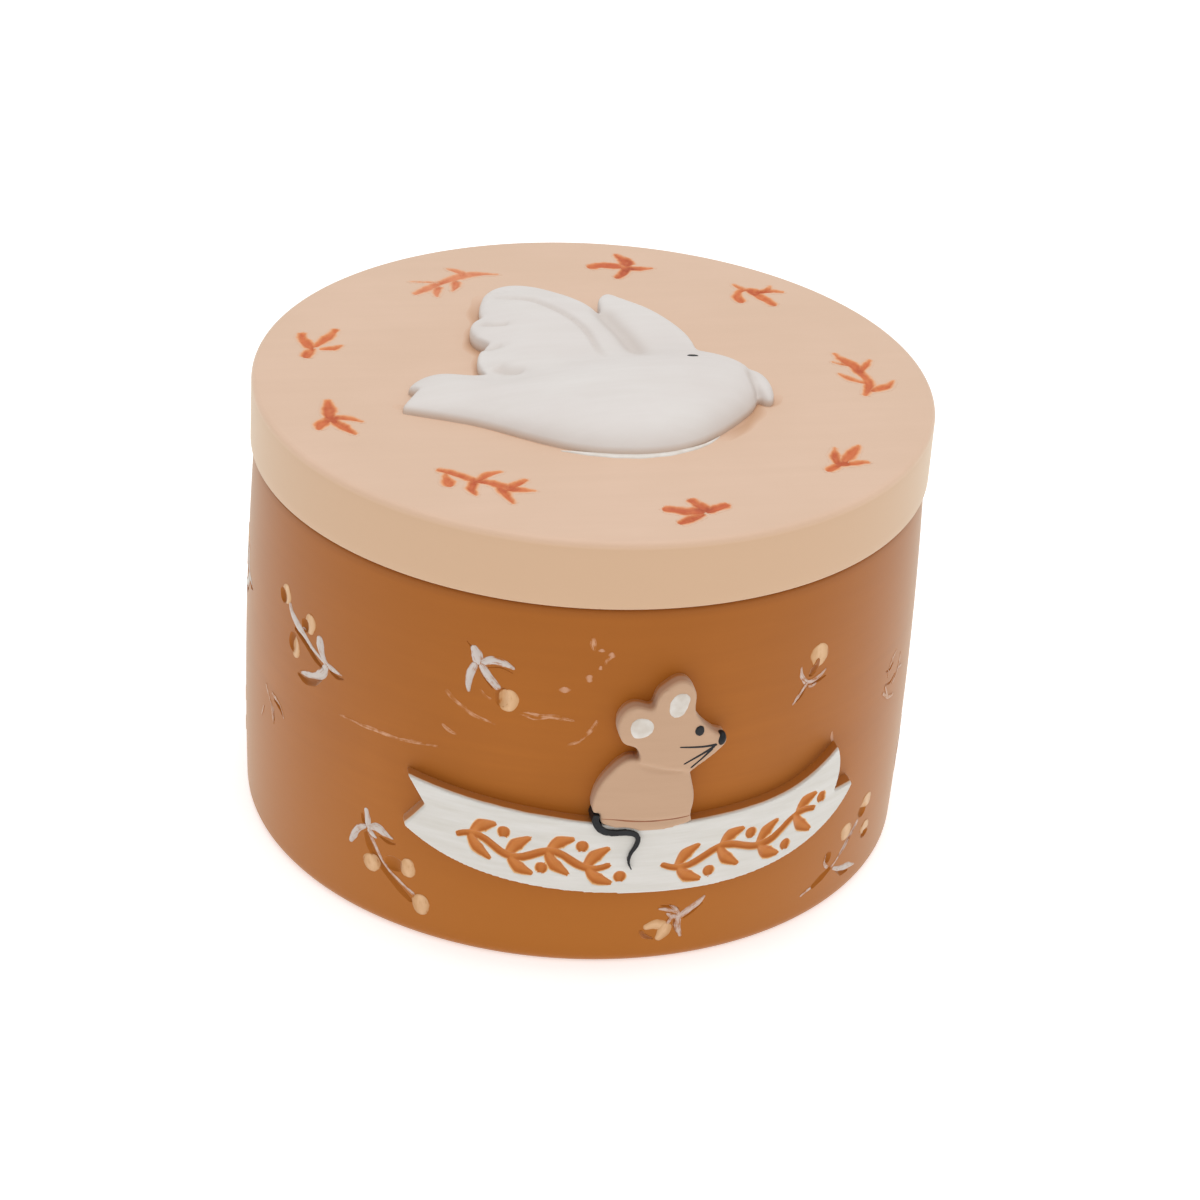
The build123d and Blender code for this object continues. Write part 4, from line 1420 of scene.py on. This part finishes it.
# %% Black paint and the dove's eye
def plain_paint(name, light, dark, roughness, gloss=0.5):
    """A small-area paint: two close shades in soft patches, with a fine bump."""
    material, tree, shader = new_material(name, **{"Roughness": roughness, "Specular IOR Level": gloss})
    patches = noise(tree, object_place(tree), 700.0, 3.0)
    shade = colour_mix(tree, ramp(tree, patches, 0.35, 0.65), srgb(*dark), srgb(*light))
    tree.links.new(shade, shader.inputs["Base Color"])
    bumped(tree, shader, patches, 0.03, 0.6)
    return material


black_paint = plain_paint("satin_black", (26, 28, 32), (14, 15, 18), 0.45, gloss=0.3)
on_dove = on_piece(dove, inwards=False)
dove_eye = skin("dove_eye", blob(9.7, -1.75, 1.25, 0.85, 7, 0.06), on_dove, [], 0.08)
coated(dove_eye, black_paint, detail_edge)
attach(dove_eye, "lid")
bead_paint = plain_paint("white_bead", (234, 230, 224), (226, 219, 210), 0.5)
bead_line = [(-6.5, -15.6), (-3.0, -16.75), (1.0, -17.35), (5.0, -16.85), (8.0, -15.6), (10.0, -13.8)]
bead_widths = [0.15, 0.7, 1.0, 0.9, 0.5, 0.1]
bead = skin("dove_breast_bead", dab(bead_line, bead_widths, 0.1, 3), on_lid, [], 0.16)
coated(bead, bead_paint, detail_edge)
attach(bead, "lid")
# Painted shadow: soft brown strokes on the lid to the left of the wing's scallops, below the tail and belly,
# and below the breast, head and beak.
dove_shadow_strokes = [
    (
        [(-8.2, 21.0), (-9.4, 17.0), (-10.1, 13.0), (-11.4, 9.0), (-10.6, 6.0), (-11.8, 1.6), (-10.8, -1.4)],
        [1.6, 2.2, 2.0, 2.0, 2.4, 1.8, 1.0],
    ),
    ([(-21.6, -4.4), (-17.4, -6.5), (-13.8, -8.9), (-10.2, -11.7), (-6.6, -14.5)], [1.2, 1.8, 1.6, 1.6, 1.2]),
    (
        [(10.0, -14.6), (12.6, -12.4), (14.4, -9.6), (15.4, -7.2), (17.2, -6.9), (18.4, -5.0)],
        [1.2, 2.0, 2.2, 2.4, 1.8, 1.0],
    ),
]
painted_shadow = joined("dove_painted_shadow", [
    skin(f"wash_{k}", dab(points, widths, 0.1, 40 + k), on_lid, [], 0.004, 0.002)
    for k, (points, widths) in enumerate(dove_shadow_strokes)
])
coated(painted_shadow, dab_paints["dove_shadow_paint"], detail_edge)
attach(painted_shadow, "lid")

# %% [markdown]
# The ribbon was cast brown with the wall, and only its face was painted white, with the brush held
# flat, so its side walls and whatever is engraved in it stay brown. Its material finds the face by how
# far a point stands out of the wall. The engraving is a plain vine with leaves and dots, which fills
# the length between the tips and leaves room for the mouse's tail.

# %% Finish of a painted face
def faced(name, over, starts, full, middle, in_grooves=()):
    """The brown coat with a second coat over what stands out of the wall by more than a height."""
    material, tree, shader, colour = painted(name, **brown_coat)
    place = object_place(tree)
    stands = place_group(tree, relief, {"Vector": place}).outputs["Relief"]
    edge = noise(tree, place, 420.0, 3.0)
    wandering = sum_of(tree, "ADD", stands, sum_of(tree, "MULTIPLY_ADD", edge, 0.24, -0.12))
    coat_links = {"Vector": place, "Squeeze": (150, 150, 1400), "Mottle Size": 260.0}
    coat = place_group(tree, brushed, coat_links)
    face = colour_mix(tree, ramp(tree, coat.outputs["Bands"], 0.3, 0.7), *(srgb(*tone) for tone in over))
    side, side_starts, side_full = middle
    colour = colour_mix(tree, ramp(tree, wandering, side_starts, side_full), colour, srgb(*side))
    colour = colour_mix(tree, ramp(tree, wandering, starts, full), colour, face)
    if in_grooves:
        ragged = sum_of(tree, "MULTIPLY_ADD", edge, 0.3, -0.15)
        ragged_cut = sum_of(tree, "ADD", attribute(tree, "engraved"), ragged)
        for tone, shallow, full_depth in in_grooves:
            colour = colour_mix(tree, ramp(tree, ragged_cut, shallow, full_depth), colour, srgb(*tone))
    specks_mask = place_group(tree, specked, {"Vector": place, "Number": 420.0, "Size": 0.09})
    colour = colour_mix(tree, times(tree, specks_mask.outputs["Mask"], 0.3), colour, srgb(120, 100, 80))
    tree.links.new(colour, shader.inputs["Base Color"])
    return material


ribbon_paint = faced(
    "ribbon_white_face", ((210, 206, 198), (220, 217, 212)), 1.14, 1.28, ((218, 190, 158), 1.04, 1.14),
    in_grooves=(((230, 182, 122), 0.11, 0.18), ((190, 110, 44), 0.2, 0.34), ((202, 126, 60), 0.5, 0.85)),
)
tan_paint = faced(
    "mouse_tan_coat", ((194, 158, 129), (197, 161, 132)), 1.25, 1.55, ((178, 136, 108), 0.35, 0.75)
)
print("faced finishes:", ribbon_paint.name, tan_paint.name)

# %% Ribbon with its vine
ribbon = united_copy("ribbon", "ribbon_banner")
on_ribbon = on_piece(ribbon, inwards=True)


vine_places = [-18.5, -14, -9, -3, 0, 4, 9, 14, 18.5]
vine_levels = [14.8, 14.2, 13.7, 13.2, 12.9, 13.1, 13.5, 14.2, 15.4]
wave_length, wave_height = 3.9, 0.75
stem_widths = [0.7, 1.0, 1.0, 1.0, 1.0, 0.7]
# The two leaves at each wave, from where they grow, and their widths.
leaves = [
    ([(-0.3, 0), (0.6, 1.1), (2.1, 1.7)], [0.8, 1.7, 0.5]),
    ([(-0.5, -0.1), (0.3, -1.5), (1.7, -2.6)], [0.8, 1.6, 0.5]),
]
dot_across, dot_up, dot_size = 2.8, 1.6, 1.35
leaf_depth, dot_depth = 0.55, 0.5


def vine_level(across):
    """The height of the vine's middle line at a place round the wall."""
    return float(np.interp(across, vine_places, vine_levels))


def vine(start, end, first):
    """The grooves and pits of one length of vine: a waving stem with leaves and a dot at each wave."""
    count = max(2, round(abs(end - start) / wave_length))
    places = np.linspace(start, end, count * 4 + 1)
    stem = [
        (a, vine_level(a) + wave_height * first * math.sin(math.pi * k / 4)) for k, a in enumerate(places)
    ]
    lines, dots = [(stem, stem_widths)], []
    for k in range(count):
        a, up = stem[k * 4 + 2]
        side = first if k % 2 == 0 else -first
        lines += [([(a + x, up + z * side) for x, z in leaf], widths) for leaf, widths in leaves]
        dots.append((a + dot_across, vine_level(a) + dot_up * side, dot_size, dot_size))
    return lines, dots


vine_grooves = []
for start, end, first in ((-18.3, -3.4, 1), (1.4, 18.3, -1)):
    lines, dots = vine(start, end, first)
    vine_grooves += [groove(*one, leaf_depth, 300 + k) for k, one in enumerate(lines)]
    vine_grooves += [pit(*place, dot_depth, 330 + k) for k, place in enumerate(dots)]
vine_cutters = [cutter(f"vine_{k}", one, on_ribbon) for k, one in enumerate(vine_grooves)]
engrave(ribbon, vine_cutters, "vine_engraver")
even_mesh(ribbon, 0.13, 2)
shape = places_of(ribbon)
turn, radius = turn_and_radius(shape)
flat = np.column_stack((turn * plan_radius, shape[:, 2]))
engraved = np.zeros(len(flat))
for one in vine_grooves:
    reach = np.ptp(one["line"], axis=0) / 2 + one["half"].max() + 0.5
    near = np.nonzero((np.abs(flat - one["line"].mean(0)) < reach).all(1))[0]
    gap = ((flat[near][:, None, :] - one["line"][None, :, :]) ** 2).sum(-1)
    share = 1.1 - np.sqrt(gap.min(1)) / one["half"][gap.argmin(1)]
    engraved[near] = np.maximum(engraved[near], np.clip(share, 0, 1))
engraved *= radius - wall_radius(shape[:, 2]) > 0.7
mark(ribbon, "engraved", engraved)
let_in(ribbon)
coated_smooth(ribbon, ribbon_paint)
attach(ribbon, "box")
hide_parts("ribbon_banner")

# %% [markdown]
# The mouse sits on the ribbon's upper edge. Head and body are one soft casting with a fine crease at the neck
# and another along its foot, and the tops of its ears are lowered a little. Its tan coat covers the face and
# runs down the rounded sides, where it is thinner and darker, and stops short of the wall.

# %% Mouse
mouse_creases = [
    ([(-1.6, 24.9), (0.2, 24.2), (1.8, 23.9), (3.3, 23.8)], 0.28, 0.16),
    ([(-4.6, 18.6), (-1.0, 18.2), (2.0, 18.2), (3.9, 18.5)], 0.3, 0.14),
]
mouse = united_copy("mouse", "mouse_body", "mouse_head")
even_mesh(mouse, 0.14, 9)
shape = places_of(mouse)
turn, radius = turn_and_radius(shape)
flat = np.column_stack((turn * plan_radius, shape[:, 2]))
face = np.clip((radius - wall_radius(shape[:, 2]) - 0.9) / 0.5, 0, 1)
radius -= face * sum(crease(flat, *one) for one in mouse_creases)
shape[:, 2] -= 0.4 * np.clip((shape[:, 2] - 31.0) / 2.5, 0, 1)
put_places(mouse, at_radius(shape, turn, radius))
work_with(mouse, "SMOOTH", factor=0.5, iterations=3)
let_in(mouse)
coated_smooth(mouse, tan_paint)
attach(mouse, "box")
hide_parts("mouse_body", "mouse_head")

tail = united_copy("tail", "mouse_tail")
even_mesh(tail, 0.09, 5)
thinned_by = 0.11
put_places(tail, places_of(tail) - thinned_by * rows_of(tail, "normal"))
coated_smooth(tail, black_paint)
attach(tail, "box")
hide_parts("mouse_tail")

# %% [markdown]
# The face is painted on the casting: white inside the ears, a dark round eye, a black nose that wraps
# round the tip of the snout, and three hair-thin whiskers.

# %% Mouse's face
on_mouse = on_piece(mouse, inwards=True)
ear_paint = plain_paint("ear_white", (220, 214, 206), (204, 194, 182), 0.5)
left_ear = dab([(-2.4, 29.7), (-1.5, 29.2), (-0.5, 28.6)], [2.3, 2.6, 2.2], 0.08, 11)
right_ear = dab([(1.5, 30.1), (1.9, 31.3), (2.5, 32.6)], [1.4, 1.9, 1.3], 0.08, 12)
ears = joined("mouse_inner_ears", [
    skin("ear_left", left_ear, on_mouse, [], 0.07), skin("ear_right", right_ear, on_mouse, [], 0.07),
])
coated(ears, ear_paint, detail_edge)
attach(ears, "box")
whiskers = [
    ([(5.9, 26.5), (4.4, 26.5), (2.2, 26.7)], [0.3, 0.24, 0.16]),
    ([(5.7, 26.4), (4.3, 25.6), (2.7, 24.7)], [0.28, 0.24, 0.16]),
    ([(5.5, 26.2), (4.6, 25.3), (3.4, 24.2)], [0.28, 0.24, 0.16]),
]
face_lines = joined("mouse_eye_and_whiskers", [
    skin("eye", blob(4.05, 28.35, 0.95, 1.15, 13, 0.04), on_mouse, [], 0.12),
    *[
        skin(f"whisker_{k}", dab(*one, 0.1, 13 + k), on_mouse, [], 0.05)
        for k, one in enumerate(whiskers, 1)
    ],
])
coated(face_lines, black_paint, detail_edge)
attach(face_lines, "box")

nose_size, nose_tilt = (0.95, 1.5, 1.5), 12
nose_across, nose_level, nose_proud = 6.35, 27.0, 1.5
nose_turn = nose_across / plan_radius
nose_out = float(wall_radius(nose_level)) + nose_proud
nose_place = Vector((nose_out * math.sin(nose_turn), -nose_out * math.cos(nose_turn), nose_level))
set_down()
bpy.ops.mesh.primitive_uv_sphere_add(segments=40, ring_count=24, radius=0.5, location=(0, 0, 0))
nose = bpy.context.object
nose.name = "mouse_nose"
bpy.ops.object.mode_set(mode="EDIT")
bpy.ops.mesh.select_all(action="SELECT")
bpy.ops.transform.resize(value=tuple(size * mm for size in nose_size))
bpy.ops.transform.rotate(value=-math.radians(nose_tilt), orient_axis="Y", center_override=(0, 0, 0))
bpy.ops.transform.rotate(value=-nose_turn, orient_axis="Z", center_override=(0, 0, 0))
bpy.ops.transform.translate(value=nose_place * mm)
bpy.ops.object.mode_set(mode="OBJECT")
nose.data.materials.append(black_paint)
bpy.ops.object.shade_smooth()
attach(nose, "box")
line_paint = plain_paint("reddish_line", (158, 98, 62), (140, 84, 50), 0.55)
foot_dab = dab([(-4.6, 18.7), (-1.0, 18.3), (2.0, 18.3), (4.0, 18.6)], [0.1, 0.22, 0.2, 0.1], 0.2, 17)
foot_line = skin("mouse_foot_line", foot_dab, on_mouse, [], 0.03)
foot_line.data.materials.append(line_paint)
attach(foot_line, "box")
low, high = places_of(nose).min(0), places_of(nose).max(0)
print("nose spans", low.round(2), high.round(2))

# %% [markdown]
# A used, hand-made box has pale rub marks. They are dabs too, but almost flush and mostly broken up,
# so they only lighten the brown in streaks.

# %% Rub marks on the wall
rubs = [
    ([(-33.2, 22.4), (-29.0, 22.6), (-25.0, 22.8), (-21.0, 23.3)], [0.2, 0.5, 0.5, 0.3]),
    ([(-20.6, 29.9), (-19.2, 28.7), (-17.4, 27.8), (-15.2, 27.2)], [0.4, 0.6, 0.5, 0.2]),
    ([(-17.2, 30.9), (-16.5, 30.2), (-15.8, 29.9)], [0.3, 0.5, 0.3]),
    ([(-13.1, 28.9), (-11.6, 28.8), (-9.6, 28.9), (-7.6, 28.6)], [0.5, 0.9, 0.6, 0.2]),
    ([(-20.8, 26.0), (-20.0, 25.4), (-19.1, 25.2)], [0.3, 0.6, 0.3]),
    ([(-5.4, 28.9), (-6.0, 27.8), (-7.0, 26.5), (-8.4, 25.8)], [0.3, 0.5, 0.5, 0.2]),
    ([(-6.4, 37.9), (-6.3, 37.2), (-6.2, 36.4)], [0.4, 0.7, 0.3]),
    ([(-5.0, 34.9), (-4.9, 35.4), (-4.5, 36.0)], [0.3, 0.5, 0.6]),
]
spots = [
    (-8.8, 32.0, 1.25, 0.75), (-6.5, 33.4, 0.9, 0.9), (-5.5, 34.6, 0.5, 0.5), (-4.5, 36.0, 0.8, 0.7),
    (-5.5, 36.5, 0.8, 0.4),
]
tip_mark = ([(21.3, 22.5), (21.3, 21.8), (21.5, 21.1)], [0.3, 0.6, 0.3])
marks = joined("wall_rub_marks", [
    skin(f"rub_{k}", dab(*one, 0.2, 400 + k), on_wall, [], 0.012) for k, one in enumerate(rubs)
])
coated(marks, dab_paints["scuff_pink"], detail_edge)
flecks = joined("wall_flecks", [
    *[skin(f"spot_{k}", blob(*place, 430 + k, 0.2), on_wall, [], 0.012) for k, place in enumerate(spots)],
    skin("tip_mark", dab(*tip_mark, 0.1, 450), on_wall, [], 0.02),
])
coated(flecks, dab_paints["spot_pink"], detail_edge)
for piece in (marks, flecks):
    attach(piece, "box")
    report(piece)
